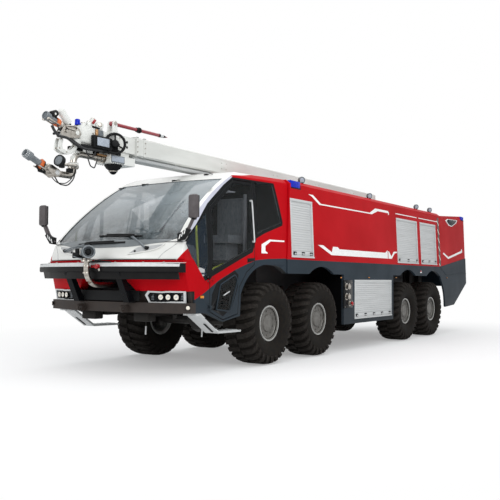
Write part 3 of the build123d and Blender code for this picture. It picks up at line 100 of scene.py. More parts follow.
def node(tree, kind, inputs=None, **settings):
    """Adds a node with its settings and its inputs, each a value or an output to link."""
    made = tree.nodes.new("ShaderNode" + kind)
    for name, value in settings.items():
        setattr(made, name, value)
    for name, value in (inputs or {}).items():
        if isinstance(value, bpy.types.NodeSocket):
            tree.links.new(value, made.inputs[name])
        else:
            made.inputs[name].default_value = value
    return made


def softbox(name, place, target, size, watts):
    """Rectangular studio lamp aimed at a point."""
    lamp = bpy.data.lights.new(name, "AREA")
    lamp.shape, lamp.size, lamp.size_y, lamp.energy = "RECTANGLE", size[0], size[1], watts
    holder = bpy.data.objects.new(name, lamp)
    bpy.context.collection.objects.link(holder)
    holder.location = spot(*place)
    holder.rotation_mode = "QUATERNION"
    holder.rotation_quaternion = (spot(*target) - holder.location).to_track_quat("-Z", "Y")


softbox("overhead_lamp", (1.0, 2.0, 13.0), (0.0, 3.0, 0.0), (16.0, 20.0), 1300.0)
softbox("key_lamp", (13.0, -9.0, 9.0), (0.0, 2.0, 1.5), (10.0, 8.0), 1150.0)
softbox("front_lamp", (-6.0, -17.0, 7.0), (0.0, -2.0, 1.5), (9.0, 7.0), 700.0)


def seen_directly(tree):
    """1 for rays from the camera, a mirror or a pane, 0 for those that only fill in light."""
    path = node(tree, "LightPath").outputs
    seen = node(tree, "Math", {0: path["Is Camera Ray"], 1: path["Is Glossy Ray"]}, operation="MAXIMUM")
    return node(tree, "Math", {0: seen.outputs[0], 1: path["Is Transmission Ray"]},
                operation="MAXIMUM").outputs[0]


# The world lights coolly from all round and is seen as plain white
world = bpy.data.worlds.new("studio")
bpy.context.scene.world = world
world.use_nodes = True
sky = world.node_tree
sky.nodes.clear()
lit = node(sky, "Background", {"Color": linear("#E4E8EC"), "Strength": 0.7})
white = node(sky, "Background", {"Color": (1.0, 1.0, 1.0, 1.0), "Strength": 1.0})
shown = node(sky, "MixShader", {0: seen_directly(sky), 1: lit.outputs[0], 2: white.outputs[0]})
node(sky, "OutputWorld", {"Surface": shown.outputs[0]})


def material(name):
    """New material: its node tree and its shader."""
    made = bpy.data.materials.new(name)
    made.use_nodes = True
    return made, made.node_tree, made.node_tree.nodes["Principled BSDF"]


def object_coords(tree):
    """Position on the object in metres."""
    return node(tree, "TexCoord").outputs["Object"]


# Pale studio floor: it keeps the truck's shadow nearby and goes to plain white further out
floor_mesh = bpy.data.meshes.new("floor")
form = bmesh.new()
bmesh.ops.create_grid(form, x_segments=1, y_segments=1, size=90.0)
form.to_mesh(floor_mesh)
form.free()
floor = bpy.data.objects.new("floor", floor_mesh)
floor.location = (0.0, 0.0, -0.002)
bpy.context.collection.objects.link(floor)
pale_floor, tree, shader = material("pale_floor")
shader.inputs["Base Color"].default_value = linear("#F0F0F0")
shader.inputs["Roughness"].default_value = 0.9
shader.inputs["Specular IOR Level"].default_value = 0.1
glow = node(tree, "Emission", {"Color": (1.0, 1.0, 1.0, 1.0), "Strength": 1.0})
reach = node(tree, "VectorMath", {0: object_coords(tree), 1: (0.11, 0.085, 1.0)}, operation="MULTIPLY")
distance = node(tree, "VectorMath", {0: reach.outputs["Vector"]}, operation="LENGTH")
far = node(tree, "MapRange", {"Value": distance.outputs["Value"], "From Min": 0.35, "From Max": 1.0,
                              "To Min": 0.3})
share = node(tree, "Math", {0: far.outputs["Result"], 1: seen_directly(tree)}, operation="MULTIPLY")
ground = node(tree, "MixShader", {0: share.outputs[0], 1: shader.outputs[0], 2: glow.outputs[0]})
tree.links.new(ground.outputs[0], tree.nodes["Material Output"].inputs["Surface"])
floor_mesh.materials.append(pale_floor)


# Finishes. Each says what the real surface is and how it was made.


def surface(name, code, shade, patch_mm, rough, relief=(0.0, 1.0), stretch=(1.0, 1.0, 1.0), **sockets):
    """Finish whose colour wanders between two tones in patches of a real size, with a gloss that
    follows the patches and a relief of (depth, grain) in mm. Sockets are set by their names."""
    made, tree, shader = material(name)
    place = node(tree, "Mapping", {"Vector": object_coords(tree), "Scale": stretch}).outputs[0]
    patches = node(tree, "TexNoise", {"Vector": place, "Scale": 1000 / patch_mm, "Detail": 4.0}).outputs[0]
    share = node(tree, "MapRange", {"Value": patches, "From Min": 0.35, "From Max": 0.65})
    tone = node(tree, "Mix", {0: share.outputs[0], 6: linear(code), 7: linear(shade)}, data_type="RGBA")
    tone.name = "tone"
    gloss = node(tree, "MapRange", {"Value": patches, "To Min": rough * 0.75, "To Max": rough * 1.25})
    tree.links.new(tone.outputs[2], shader.inputs["Base Color"])
    tree.links.new(gloss.outputs[0], shader.inputs["Roughness"])
    depth_mm, grain_mm = relief
    if depth_mm:
        grain = node(tree, "TexNoise", {"Vector": place, "Scale": 1000 / grain_mm,
                                        "Detail": 2.0}).outputs[0]
        dents = node(tree, "Bump", {"Height": grain, "Distance": depth_mm / 1000})
        tree.links.new(dents.outputs[0], shader.inputs["Normal"])
    for socket, value in sockets.items():
        shader.inputs[socket.replace("_", " ")].default_value = value
    return made


def dust_and_darkening_by_height(made, code, low, high, amount):
    """Colour laid by height, thick at one height and gone at another: road dust thrown up by the wheels,
    and on the windscreen a darker tone towards its foot, under its painted sky reflection.
    """
    tree = made.node_tree
    shader = tree.nodes["Principled BSDF"]
    height = node(tree, "SeparateXYZ", {"Vector": object_coords(tree)}).outputs["Z"]
    film = node(tree, "MapRange", {"Value": height, "From Min": low, "From Max": high, "To Min": amount,
                                   "To Max": 0.0})
    specks = node(tree, "TexNoise", {"Vector": object_coords(tree), "Scale": 9.0, "Detail": 6.0}).outputs[0]
    film = node(tree, "Math", {0: film.outputs[0], 1: specks}, operation="MULTIPLY")
    tone = node(tree, "Mix", {
        0: film.outputs[0], 6: tree.nodes["tone"].outputs[2], 7: linear(code),
    }, data_type="RGBA")
    tree.links.new(tone.outputs[2], shader.inputs["Base Color"])
    return made


def painted_shade_inside(made, code, half_width, y_end):
    """Painted shade: a dark colour on what lies inside the skin, up to one place along the vehicle."""
    tree = made.node_tree
    paint = tree.nodes["Principled BSDF"].inputs["Base Color"]
    place = node(tree, "SeparateXYZ", {"Vector": object_coords(tree)}).outputs
    side = node(tree, "Math", {0: place["X"]}, operation="ABSOLUTE")
    inside = node(tree, "Math", {0: side.outputs[0], 1: half_width}, operation="LESS_THAN")
    ahead = node(tree, "Math", {0: place["Y"], 1: y_end}, operation="LESS_THAN")
    share = node(tree, "Math", {0: inside.outputs[0], 1: ahead.outputs[0]}, operation="MULTIPLY")
    tone = node(tree, "Mix", {0: share.outputs[0], 6: paint.links[0].from_socket, 7: linear(code)},
                data_type="RGBA")
    tree.links.new(tone.outputs[2], paint)
    return made


# Two-pack vehicle enamel, sprayed and polished: deep saturated red with a satin sheen and faint orange peel
red_enamel = surface("red_lacquered_enamel", "#B30A15", "#A70812", 900, 0.4, (0.25, 24),
                     Specular_IOR_Level=0.03)


def slate(name):
    """The same enamel in slate grey, with a little road dust low down."""
    paint = surface(name, "#2C353D", "#273037", 700, 0.42, (0.25, 24), Specular_IOR_Level=0.04)
    return dust_and_darkening_by_height(paint, "#453F37", 0.5, 1.4, 0.4)


# Slate-grey enamel on the panels below the waist
slate_enamel = slate("slate_grey_enamel")
# The same grey outside, and black painted shade on what lies inside the skin in the wheel arches, which
# makes them read as deep
SKIN_INNER_X, LAST_ARCH_Y = 1.435, 6.2
skirt_enamel = painted_shade_inside(slate("slate_enamel_with_painted_arch_shade"), "#0A0A0B", SKIN_INNER_X, LAST_ARCH_Y)
# White gelcoat on the moulded nose and pillars: soft gloss, slightly uneven
white_enamel = surface("white_gelcoat", "#D9D9D5", "#CDCDC9", 500, 0.3, (0.3, 40), Coat_Weight=0.3,
                       Coat_Roughness=0.08)
# The same gelcoat on the leaning pillars, in the cooler tone they take from the sky
pillar_enamel = surface("pillar_gelcoat", "#BDBECB", "#B3B4C1", 500, 0.35, (0.3, 40),
                        Specular_IOR_Level=0.3)
# Epoxy enamel on the welded steel boom: semi-gloss warm white with faint run-off streaks
boom_enamel = surface("boom_epoxy_enamel", "#DADBD7", "#C9CAC5", 260, 0.4, (0.3, 30), (1.0, 0.2, 1.0),
                      Coat_Weight=0.2)
# Black glazing print and gloss trim round the windows: mirror-like black
gloss_black = surface("black_gloss_trim", "#0B0C0E", "#101214", 300, 0.15, Specular_IOR_Level=0.08)
# Powder-coated steel of the chassis: matt black with dust in it
chassis_coat = dust_and_darkening_by_height(surface("black_powder_coat", "#121110", "#1A1817", 120, 0.65, (0.4, 6),
                              Specular_IOR_Level=0.2), "#3A352E", 0.3, 1.4, 0.4)
# Moulded rubber of the tyres: dull near-black with a brown film of dust and a fine moulded grain
tyre_rubber = surface("moulded_tyre_rubber", "#131110", "#1F1C18", 70, 0.85, (0.5, 7),
                      Specular_IOR_Level=0.12)
# Silver enamel over the pressed steel rims: pale satin metal paint
rim_silver = surface("silver_rim_enamel", "#A6A6A3", "#989895", 90, 0.38, (0.2, 8), Metallic=0.35)
# Lug rubber, lighter than the carcass between the lugs
lug_rubber = surface("lighter_lug_rubber", "#2C2926", "#211E1C", 40, 0.9, (0.5, 6),
                     Specular_IOR_Level=0.1)
# The rim's dish in the same paint, painted darker than the flange
rim_dish = surface("darker_rim_dish_enamel", "#6A6864", "#5C5A56", 60, 0.5, (0.3, 6), Metallic=0.3)
# Anodised aluminium of slats, rails and steps: pale satin metal drawn along its length
anodised = surface("anodised_aluminium", "#C6C8C8", "#BEC0C0", 60, 0.5, (0.1, 4), (1.0, 0.06, 1.0),
                   Metallic=0.25)
# Brushed stainless pipework: bright metal with fine brushing round it
stainless = surface("brushed_stainless_steel", "#B9B5AE", "#98938B", 40, 0.3, (0.15, 5), (0.2, 1.0, 1.0),
                    Metallic=1.0)
# Hard chrome on the cylinder rod: mirror metal
chrome = surface("hard_chrome", "#D5D8DA", "#C6CACD", 200, 0.08, Metallic=1.0)
# Injection-moulded glass-filled plastic: matt dark brown-black with a fine grain
bumper_plastic = surface("moulded_bumper_plastic", "#2A2421", "#332C28", 160, 0.6, (0.35, 5),
                         Specular_IOR_Level=0.25)
# Moulded ABS housings of mirrors and lamps: matt black with spark-eroded grain
black_plastic = surface("spark_grained_black_abs", "#121314", "#18191A", 60, 0.55, (0.3, 3),
                        Specular_IOR_Level=0.12)
# Grey moulded housings of floodlights and cameras
grey_plastic = surface("moulded_grey_housing", "#6E7478", "#5E6468", 50, 0.45, (0.25, 4))
# Rotomoulded polyethylene of the tank: waxy black plastic with the faint pitting of its mould
tank_plastic = surface("rotomoulded_polyethylene", "#17181A", "#202124", 300, 0.5, (0.5, 18))
# Cast and machined iron of axles, hubs and engine: dark and oily
cast_iron = surface("sand_cast_iron", "#2C2B2A", "#3A3734", 35, 0.55, (0.6, 4), Metallic=0.4)
# Cast bronze couplings at the head: dull warm metal
bronze = surface("cast_bronze", "#A8835C", "#8C6A48", 25, 0.45, (0.3, 4), Metallic=0.6)
# Orange moulded hand grips at the nozzles: soft bright plastic
orange_plastic = surface("orange_moulded_grip", "#CF6526", "#B9551B", 60, 0.4, (0.3, 3))
# Red oxide enamel of the piercing lance: satin dark red
lance_enamel = surface("lance_red_enamel", "#8E1F2C", "#7C1825", 80, 0.35, (0.2, 6), Coat_Weight=0.3)
# Vinyl-skinned foam and textured plastic in the cab: matt charcoal
cabin_trim = surface("grained_cabin_trim", "#2A2D2E", "#232627", 120, 0.7, (0.4, 3))
# Woven seat cloth: charcoal with a coarse rib that stands for the yarns
seat_cloth = surface("ribbed_seat_cloth", "#7C838A", "#62686E", 14, 0.9, (1.2, 9), (1.0, 1.0, 0.3),
                     Sheen_Weight=0.3)
# Pale moulded panels of the cab's ceiling and sills, and the grey of its posts: soft matt plastic
pale_trim = surface("pale_moulded_trim", "#B9BDC6", "#ABAFB8", 150, 0.6, (0.3, 4))
grey_trim = surface("grey_moulded_post", "#7E8288", "#72767C", 150, 0.6, (0.3, 4))
# Yellow-green powder coat of the grab rails inside the doors
rail_yellow = surface("yellow_green_powder_coat", "#B9C93A", "#A8B834", 60, 0.35, (0.2, 5))
# Retroreflective white tape of the side stripes: bright white with a fine bead texture
white_tape = surface("retroreflective_white_tape", "#F1F1EF", "#E6E6E4", 30, 0.4, (0.1, 3))
# Rolled checker plate of the walkway on the roof: pale aluminium with raised bars
checker_plate = surface("rolled_checker_plate", "#A7AAAB", "#979A9B", 200, 0.4, (1.5, 28), (1.0, 2.2, 1.0),
                        Metallic=0.5)
# Rubber hoses: smooth matt black
hose_rubber = surface("extruded_hose_rubber", "#17181A", "#1F2022", 40, 0.6, (0.2, 5))


def pane(name, code, shade, patch_mm, alpha, rough=0.03, **sockets):
    """Glazing that lets some of what lies behind it through."""
    return surface(name, code, shade, patch_mm, rough, IOR=1.5, Alpha=alpha, **sockets)


# Float glass with a dark privacy tint: the cab shows dimly behind its gloss
side_glass = pane("privacy_tinted_glass", "#0A0F10", "#0E1415", 400, 0.2, Specular_IOR_Level=0.3)
# The quarter panes at the windscreen in the same glass with a lighter blue tint
quarter_glass = pane("blue_tinted_glass", "#1D2A35", "#233140", 400, 0.3, Specular_IOR_Level=0.2)
# Laminated windscreen whose pale tint is a painted reflection of the sky, darker towards the foot of the
# screen
screen_glass = dust_and_darkening_by_height(pane("windscreen_with_painted_sky_reflection", "#9AA4A9", "#8A9396", 700, 0.62, 0.05), "#343A3C", 1.95,
                      2.75, 1.7)
# Polycarbonate lamp covers, moulded clear, blue, amber and red
clear_lens = pane("clear_polycarbonate_lens", "#E8ECEE", "#D2D8DC", 12, 0.45)
blue_lens = pane("blue_polycarbonate_lens", "#0A1F9C", "#1632C4", 18, 0.97, 0.12, Specular_IOR_Level=0.12)
amber_lens = pane("amber_polycarbonate_lens", "#E08A12", "#CC7A0C", 10, 0.9, 0.15)
red_lens = pane("red_polycarbonate_lens", "#A8101A", "#8C0C14", 10, 0.9, 0.15)
# Floodlight glass, pressed with a prism pattern over a bright reflector
flood_glass = surface("pressed_floodlight_glass", "#A7B0BA", "#8F98A4", 16, 0.12, (0.8, 12))
# Pressed headlight glass over a mirror with its lamp lit: near white, in fine rings
lit_lamp, tree, shader = material("lit_headlamp")
rings = node(tree, "TexWave", {"Vector": object_coords(tree), "Scale": 60.0}, bands_direction="Z")
tone = node(tree, "Mix", {0: rings.outputs["Fac"], 6: linear("#F3EEE2"), 7: linear("#B9B2A4")},
            data_type="RGBA")
tree.links.new(tone.outputs[2], shader.inputs["Base Color"])
tree.links.new(tone.outputs[2], shader.inputs["Emission Color"])
shader.inputs["Emission Strength"].default_value = 0.12
shader.inputs["Roughness"].default_value = 0.25
# Pressed steel bar in satin black enamel
bar_black = surface("satin_black_enamel", "#111112", "#171616", 200, 0.45, (0.2, 8),
                    Specular_IOR_Level=0.12)
# The gelcoat of the wiper wells, which lies in shade and gathers grime
well_grey = surface("shaded_well_gelcoat", "#A8A9A9", "#9C9D9D", 80, 0.5, (0.3, 9))
# Smoked band printed on the foot of the windscreen, over the bonding, darker where the print is thick
smoked_foot = surface("smoked_screen_foot", "#74797B", "#686D6F", 260, 0.2, Specular_IOR_Level=0.3)
# Grained plastic shells of the mirrors, in a warm grey
mirror_grey = surface("grained_mirror_shell", "#484344", "#524D4E", 60, 0.5, (0.3, 3),
                      Specular_IOR_Level=0.3)
# Silvered mirror glass
mirror_glass = surface("silvered_mirror_glass", "#C8CED2", "#C2C8CC", 300, 0.02, Metallic=1.0)

# Marker tape of printed white bars on black, which climb at 45 degrees
BAR_PITCH, BAR_HEIGHT = 0.22, 0.035
marker_tape, tree, shader = material("printed_black_and_white_tape")
place = node(tree, "SeparateXYZ", {"Vector": object_coords(tree)}).outputs
slant = node(tree, "Math", {0: place["Z"], 1: place["Y"]}, operation="ADD")
bars = node(tree, "Math", {0: slant.outputs[0], 1: BAR_PITCH}, operation="FLOORED_MODULO")
bars = node(tree, "Math", {0: bars.outputs[0], 1: BAR_HEIGHT}, operation="LESS_THAN")
tone = node(tree, "Mix", {0: bars.outputs[0], 6: linear("#131313"), 7: linear("#EDEBDD")}, data_type="RGBA")
tree.links.new(tone.outputs[2], shader.inputs["Base Color"])
shader.inputs["Roughness"].default_value = 0.4


# Shapes. Each helper makes one closed shape and joins it to a piece's bmesh.


def standing(base, direction):
    """Matrix that stands a shape made along Z on a base, along a direction."""
    return Matrix.Translation(base) @ Vector(direction).to_track_quat("Z", "Y").to_matrix().to_4x4()


def verts_of(geometry):
    """Vertices among what an operator made."""
    return [part for part in geometry if isinstance(part, bmesh.types.BMVert)]


def join(form, shape, skin=0, place=None):
    """Joins a shape to a piece, at its place and with one of the piece's finishes."""
    if place is not None:
        bmesh.ops.transform(shape, matrix=place, verts=shape.verts[:])
    for face in shape.faces:
        face.material_index = skin
    mesh = bpy.data.meshes.new("shape")
    shape.to_mesh(mesh)
    shape.free()
    form.from_mesh(mesh)
    bpy.data.meshes.remove(mesh)


def soften(shape, edges, width, segments=2):
    """Rounds edges off."""
    bmesh.ops.bevel(shape, geom=edges, offset=width, offset_type="OFFSET", affect="EDGES",
                    segments=segments, profile=0.5, material=-1, clamp_overlap=True)


def box(form, x, y, z, skin=0, edge=0.006):
    """Block between two x, two y and two z with rounded edges."""
    shape = bmesh.new()
    bmesh.ops.create_cube(shape, size=1.0)
    bmesh.ops.scale(shape, vec=(x[1] - x[0], y[1] - y[0], z[1] - z[0]), verts=shape.verts[:])
    soften(shape, shape.edges[:], edge)
    join(form, shape, skin, Matrix.Translation(spot(sum(x) / 2, sum(y) / 2, sum(z) / 2)))


def span(middle, half):
    """Range of a half-width about a middle."""
    return middle - half, middle + half


def rod(form, start, end, radius, skin=0, tip=None, sides=16, edge=0.003):
    """Round bar between two points, or a cone where the tip has a radius of its own."""
    shape = bmesh.new()
    reach = end - start
    end_radius = radius if tip is None else tip
    bmesh.ops.create_cone(shape, cap_ends=True, segments=sides, radius1=radius, radius2=end_radius,
                          depth=reach.length)
    if edge:
        soften(shape, [e for e in shape.edges if abs(e.verts[0].co.z - e.verts[1].co.z) < 1e-6], edge)
    join(form, shape, skin, standing((start + end) / 2, reach))


def bolt(form, start, end, radius, skin=0):
    """Small hexagon head between two points."""
    rod(form, start, end, radius, skin, sides=6, edge=0)


def turned(form, profile, base, direction, skin=0, steps=32):
    """Lathe shape from a closed outline of radius and height, standing on base along a direction."""
    shape = bmesh.new()
    chain = [shape.verts.new((radius, 0.0, height)) for radius, height in profile]
    edges = [shape.edges.new(pair) for pair in zip(chain, chain[1:] + chain[:1])]
    bmesh.ops.spin(shape, geom=chain + edges, cent=(0, 0, 0), axis=UP, angle=2 * pi, steps=steps,
                   use_merge=True)
    bmesh.ops.remove_doubles(shape, verts=shape.verts[:], dist=1e-5)
    join(form, shape, skin, standing(base, direction))


def disc(form, base, direction, radius, height, skin=0, edge=0.004):
    """Low round cap with a rounded rim."""
    profile = (
        (0, 0), (radius, 0), (radius, height - edge), (radius - edge * 0.4, height - edge * 0.3),
        (radius - edge, height), (0, height),
    )
    turned(form, profile, base, direction, skin)


def hoop(form, centre, aim, radius, thickness, skin, sides):
    """Round ring, as of a steering wheel."""
    turns = [2 * pi * side / sides for side in range(sides)]
    section = [(radius + thickness * cos(turn), thickness * sin(turn)) for turn in turns]
    turned(form, section, centre, aim, skin, 4 * sides)


def around(count, first, second, start=0.0):
    """Unit steps out from an axis, evenly turned about it from a first direction to a second one."""
    angles = [start + 2 * pi * turn / count for turn in range(count)]
    return [first * cos(angle) + second * sin(angle) for angle in angles]


def plate(form, outline, thickness, skin=0, edge=0.0):
    """Flat outline of points, thickened by a vector."""
    shape = bmesh.new()
    face = shape.faces.new([shape.verts.new(point) for point in outline])
    grown = bmesh.ops.extrude_face_region(shape, geom=[face])["geom"]
    bmesh.ops.translate(shape, vec=thickness, verts=verts_of(grown))
    if edge:
        soften(shape, shape.edges[:], edge)
    join(form, shape, skin)


def sheet(form, across, along, fit, thickness, skin=0):
    """Curved sheet: a grid laid out by a function of its two shares, thickened by a vector."""
    shape = bmesh.new()
    bmesh.ops.create_grid(shape, x_segments=across, y_segments=along, size=1.0)
    for vert in shape.verts:
        vert.co = fit((vert.co.x + 1) / 2, (vert.co.y + 1) / 2)
    grown = bmesh.ops.extrude_face_region(shape, geom=shape.faces[:])["geom"]
    bmesh.ops.translate(shape, vec=thickness, verts=verts_of(grown))
    join(form, shape, skin)


def rounded(points, radius, steps=5):
    """Points of a route with its corners rounded."""
    route = [points[0]]
    for before, corner, after in zip(points, points[1:], points[2:]):
        start = corner + (before - corner).normalized() * radius
        end = corner + (after - corner).normalized() * radius
        route += [start.lerp(corner, i / steps).lerp(corner.lerp(end, i / steps), i / steps)
                  for i in range(steps + 1)]
    return route + [points[-1]]


def pipe(form, points, radius, skin=0, sides=10):
    """Tube along a route of points."""
    runs = [(after - before).normalized() for before, after in zip(points, points[1:])]
    aims = [runs[0]] + [(a + b).normalized() for a, b in zip(runs, runs[1:])] + [runs[-1]]
    shape = bmesh.new()
    bmesh.ops.create_circle(shape, cap_ends=True, segments=sides, radius=radius,
                            matrix=standing(points[0], aims[0]))
    ring = shape.edges[:]
    for here, there, aim, next_aim in zip(points, points[1:], aims, aims[1:]):
        grown = bmesh.ops.extrude_edge_only(shape, edges=ring)["geom"]
        verts = verts_of(grown)
        ring = [part for part in grown
                if isinstance(part, bmesh.types.BMEdge) and all(v in verts for v in part.verts)]
        bmesh.ops.rotate(shape, cent=here, matrix=aim.rotation_difference(next_aim).to_matrix(),
                         verts=verts)
        bmesh.ops.translate(shape, vec=there - here, verts=verts)
    bmesh.ops.holes_fill(shape, edges=ring)
    join(form, shape, skin)


def bent(form, points, bend, radius, skin=0, sides=10):
    """Tube along a route of points with its corners rounded."""
    pipe(form, rounded(points, bend), radius, skin, sides)


def at_x(x, points):
    """Points at one x from rows of y and z."""
    return [spot(x, y, z) for y, z in points]


def placer(origin, *axes):
    """Function that places a point by its steps along axes from an origin."""
    return lambda *steps: sum((axis * step for axis, step in zip(axes, steps)), origin)


def cheek(form, base, aim, rise, half, thickness, edge):
    """Side plate of a nozzle's yoke, from the upper half of its outline along the aim."""
    outline = half + [(ahead, -up) for ahead, up in reversed(half)]
    plate(form, [base + aim * ahead + rise * up for ahead, up in outline], thickness, edge=edge)


def both_sides(form):
    """Mirrors a piece of the left side to the right as well."""
    twin = bmesh.ops.duplicate(form, geom=form.verts[:] + form.edges[:] + form.faces[:])["geom"]
    bmesh.ops.scale(form, vec=(-1, 1, 1), verts=verts_of(twin))


def between(table, key):
    """Row of a table at a key, in line between its two nearest rows."""
    key = min(max(key, table[0][0]), table[-1][0])
    for low, high in zip(table, table[1:]):
        if key <= high[0]:
            share = (key - low[0]) / (high[0] - low[0])
            return [a + share * (b - a) for a, b in zip(low[1:], high[1:])]


def piece(name, form, finishes, body="root", replaces=(), smooth=35.0, cad=False):
    """Finished piece: merged, faces outwards, smooth below an angle, riding on its body."""
    if not cad:
        bmesh.ops.remove_doubles(form, verts=form.verts[:], dist=1e-5)
        bmesh.ops.recalc_face_normals(form, faces=form.faces[:])
    mesh = bpy.data.meshes.new(name)
    form.to_mesh(mesh)
    form.free()
    for finish in finishes:
        mesh.materials.append(finish)
    mesh.shade_smooth()
    mesh.set_sharp_from_angle(angle=radians(smooth))
    made = bpy.data.objects.new(name, mesh)
    bpy.context.collection.objects.link(made)
    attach(made, body)
    if replaces:
        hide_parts(*replaces)
    return made


def copy_of(name):
    """Bmesh of a CAD node's shape, its loose triangles merged and its flat faces joined up."""
    form = bmesh.new()
    form.from_mesh(NODES[name].data)
    bmesh.ops.remove_doubles(form, verts=form.verts[:], dist=1e-5)
    bmesh.ops.dissolve_limit(form, angle_limit=radians(0.3), verts=form.verts[:], edges=form.edges[:])
    return form


def wall_x(z):
    """Outer face of the body wall at a height."""
    return BODY_HALF_W - WALL_LEAN * max(0.0, z - WAIST_Z)


def cab_x(y, z):
    """Outer face of the cab's side at a place."""
    corner_x, corner_y, _, back_x = between(CAB_SECTIONS, z)
    return corner_x + (back_x - corner_x) * (y - corner_y) / (CAB_BACK_Y - corner_y)


def nose(x, z):
    """Y of the cab's curved front face at a place."""
    corner_x, corner_y, nose_y, _ = between(CAB_SECTIONS, z)
    rise = corner_y - nose_y
    radius = (corner_x * corner_x + rise * rise) / (2 * rise)
    return nose_y + radius - sqrt(radius * radius - x * x)


def on_cab(y, z, out=0.0):
    """Point on the cab's side, standing proud of it."""
    return Vector((cab_x(y, z) + out, at(y), z))


def on_nose(x, z, out=0.0):
    """Point on the cab's curved front face, standing proud of it."""
    return Vector((x, at(nose(x, z) - out), z))


# Wheels: lathe-turned carcass and rim, with lugs that wrap over the shoulder

# half of the tyre's section: distance from its middle plane, radius
TYRE_SECTION = (
    (0.0, 0.652), (0.1, 0.651), (0.19, 0.646), (0.25, 0.626), (0.279, 0.592), (0.289, 0.55), (0.2915, 0.49),
    (0.284, 0.43), (0.262, 0.365), (0.236, 0.325), (0.224, 0.318), (0.215, 0.3), (0.193, 0.268),
)
# share of the run from the middle outwards: x and radius at the root, x and radius at the top
LUG_RUN = (
    (0.0, 0.01, 0.645, 0.012, 0.688), (0.45, 0.17, 0.642, 0.175, 0.688), (0.66, 0.235, 0.62, 0.258, 0.668),
    (0.84, 0.268, 0.588, 0.2945, 0.618), (1.0, 0.282, 0.54, 0.2985, 0.558),
)
LUGS = 27
# radius, distance from the middle plane: outer flange, step and barrel to the inner flange
RIM_SECTION = (
    (0.268, 0.14), (0.29, 0.186), (0.301, 0.2), (0.303, 0.216), (0.297, 0.226), (0.284, 0.226),
    (0.27, 0.219), (0.262, 0.212), (0.256, 0.19), (0.254, 0.15), (0.241, -0.19), (0.262, -0.215),
    (0.284, -0.226), (0.297, -0.226), (0.303, -0.212), (0.294, -0.195), (0.268, -0.175),
)
RIM_DISH = (
    (0.276, 0.2235), (0.268, 0.2205), (0.26, 0.213), (0.256, 0.19), (0.244, 0.172), (0.225, 0.165),
    (0.175, 0.163), (0.15, 0.168), (0.142, 0.178), (0.136, 0.193), (0.12, 0.199), (0.06, 0.202),
    (0.0, 0.202), (0.0, 0.09), (0.2, 0.095), (0.255, 0.12),
)
WHEEL_NUTS = 10


def tread_lug(form, side, turn):
    """One lug: a long block laid from the middle of the tread over the shoulder."""
    lug = bmesh.new()
    bmesh.ops.create_cube(lug, size=1.0)
    long_edges = [e for e in lug.edges if abs(e.verts[0].co.x - e.verts[1].co.x) > 0.5]
    bmesh.ops.subdivide_edges(lug, edges=long_edges, cuts=5, use_grid_fill=True)
    pitch = 2 * pi / LUGS
    for vert in lug.verts:
        share, across, top = vert.co.x + 0.5, vert.co.y, vert.co.z > 0
        root_x, root_r, top_x, top_r = between(LUG_RUN, share)
        x, radius = (top_x, top_r) if top else (root_x, root_r)
        width = (0.66 - 0.1 * top) * (1.0 - 0.12 * share)
        angle = turn + pitch * (across * width + 0.75 * share * share * side)
        vert.co = (side * x, radius * sin(angle), radius * cos(angle))
    join(form, lug, 1)


def wheel_forms():
    """Tyre and rim of a left wheel, standing about the origin on the X axis."""
    tyre, rim = bmesh.new(), bmesh.new()
    section = [(r, x) for x, r in TYRE_SECTION]
    section = [(r, -x) for r, x in reversed(section)] + section[1:]
    turned(tyre, section + [(0.262, 0.19), (0.262, -0.19)], Vector(), LEFT, steps=88)
    for lug in range(LUGS):
        for side, stagger in ((1, 0.0), (-1, 0.5)):
            tread_lug(tyre, side, (lug + stagger) * 2 * pi / LUGS)
    turned(rim, RIM_SECTION, Vector(), LEFT, steps=64)
    turned(rim, RIM_DISH, Vector(), LEFT, skin=1, steps=64)
    for out in around(WHEEL_NUTS, UP, BACK):
        foot = LEFT * 0.16 + out * 0.2
        rod(rim, foot, foot + LEFT * 0.018, 0.014, skin=1, sides=6)
    return tyre, rim


for axle, y in enumerate(AXLES_Y, 1):
    for side, hand in (("left", 1), ("right", -1)):
        tyre, rim = wheel_forms()
        place = Matrix.Translation(spot(hand * TRACK_HALF, y, TYRE_R)) @ Matrix.Diagonal((hand, 1, 1, 1))
        for form in (tyre, rim):
            bmesh.ops.transform(form, matrix=place, verts=form.verts[:])
        wheel = f"wheel_{axle}_{side}"
        piece(f"tyre_tread_{axle}_{side}", tyre, [tyre_rubber, lug_rubber], wheel,
              [f"tyre_{axle}_{side}"], smooth=40)
        piece(f"pressed_rim_{axle}_{side}", rim, [rim_silver, rim_dish], wheel,
              [f"rim_{axle}_{side}"])


# Cab: paint zones masked on copies of the shell and doors

# y, z of the line between the red above and the grey below
RED_EDGE = (
    (-2.4, 0.98), (-2.35, 1.0), (-2.13, 1.09), (-1.81, 1.23), (-1.47, 1.41), (-1.06, 1.57), (-0.74, 1.67),
    (-0.48, 1.74), (-0.13, 1.77), (0.41, 1.79), (1.0, 1.79),
)
# y, z round the black band that holds the side windows
GLAZING_BAND = (
    (-2.215, 1.97), (-1.8, 1.4), (-1.62, 1.47), (-1.02, 1.7), (-0.54, 1.87), (-0.4, 2.1), (-0.17, 2.19),
    (0.385, 2.36), (0.4, 2.42), (0.235, 3.085), (-0.79, 3.085), (-1.05, 2.93), (-1.52, 2.59), (-1.87, 2.24),
    (-2.215, 1.97),
)
PILLAR_EDGE = GLAZING_BAND[-5:]
# y, z round the dark panel that holds the door's low window
LOW_PANEL = (
    (-1.66, 0.98), (-1.64, 1.2), (-1.52, 1.37), (-1.06, 1.57), (-0.96, 1.5), (-0.98, 1.3), (-1.12, 1.0),
    (-1.36, 0.86), (-1.66, 0.98),
)


def inside(outline, y, z):
    """Whether a place on the cab's side lies within an outline."""
    odd = False
    for (y0, z0), (y1, z1) in zip(outline, outline[1:]):
        if (z0 > z) != (z1 > z) and y < y0 + (z - z0) * (y1 - y0) / (z1 - z0):
            odd = not odd
    return odd


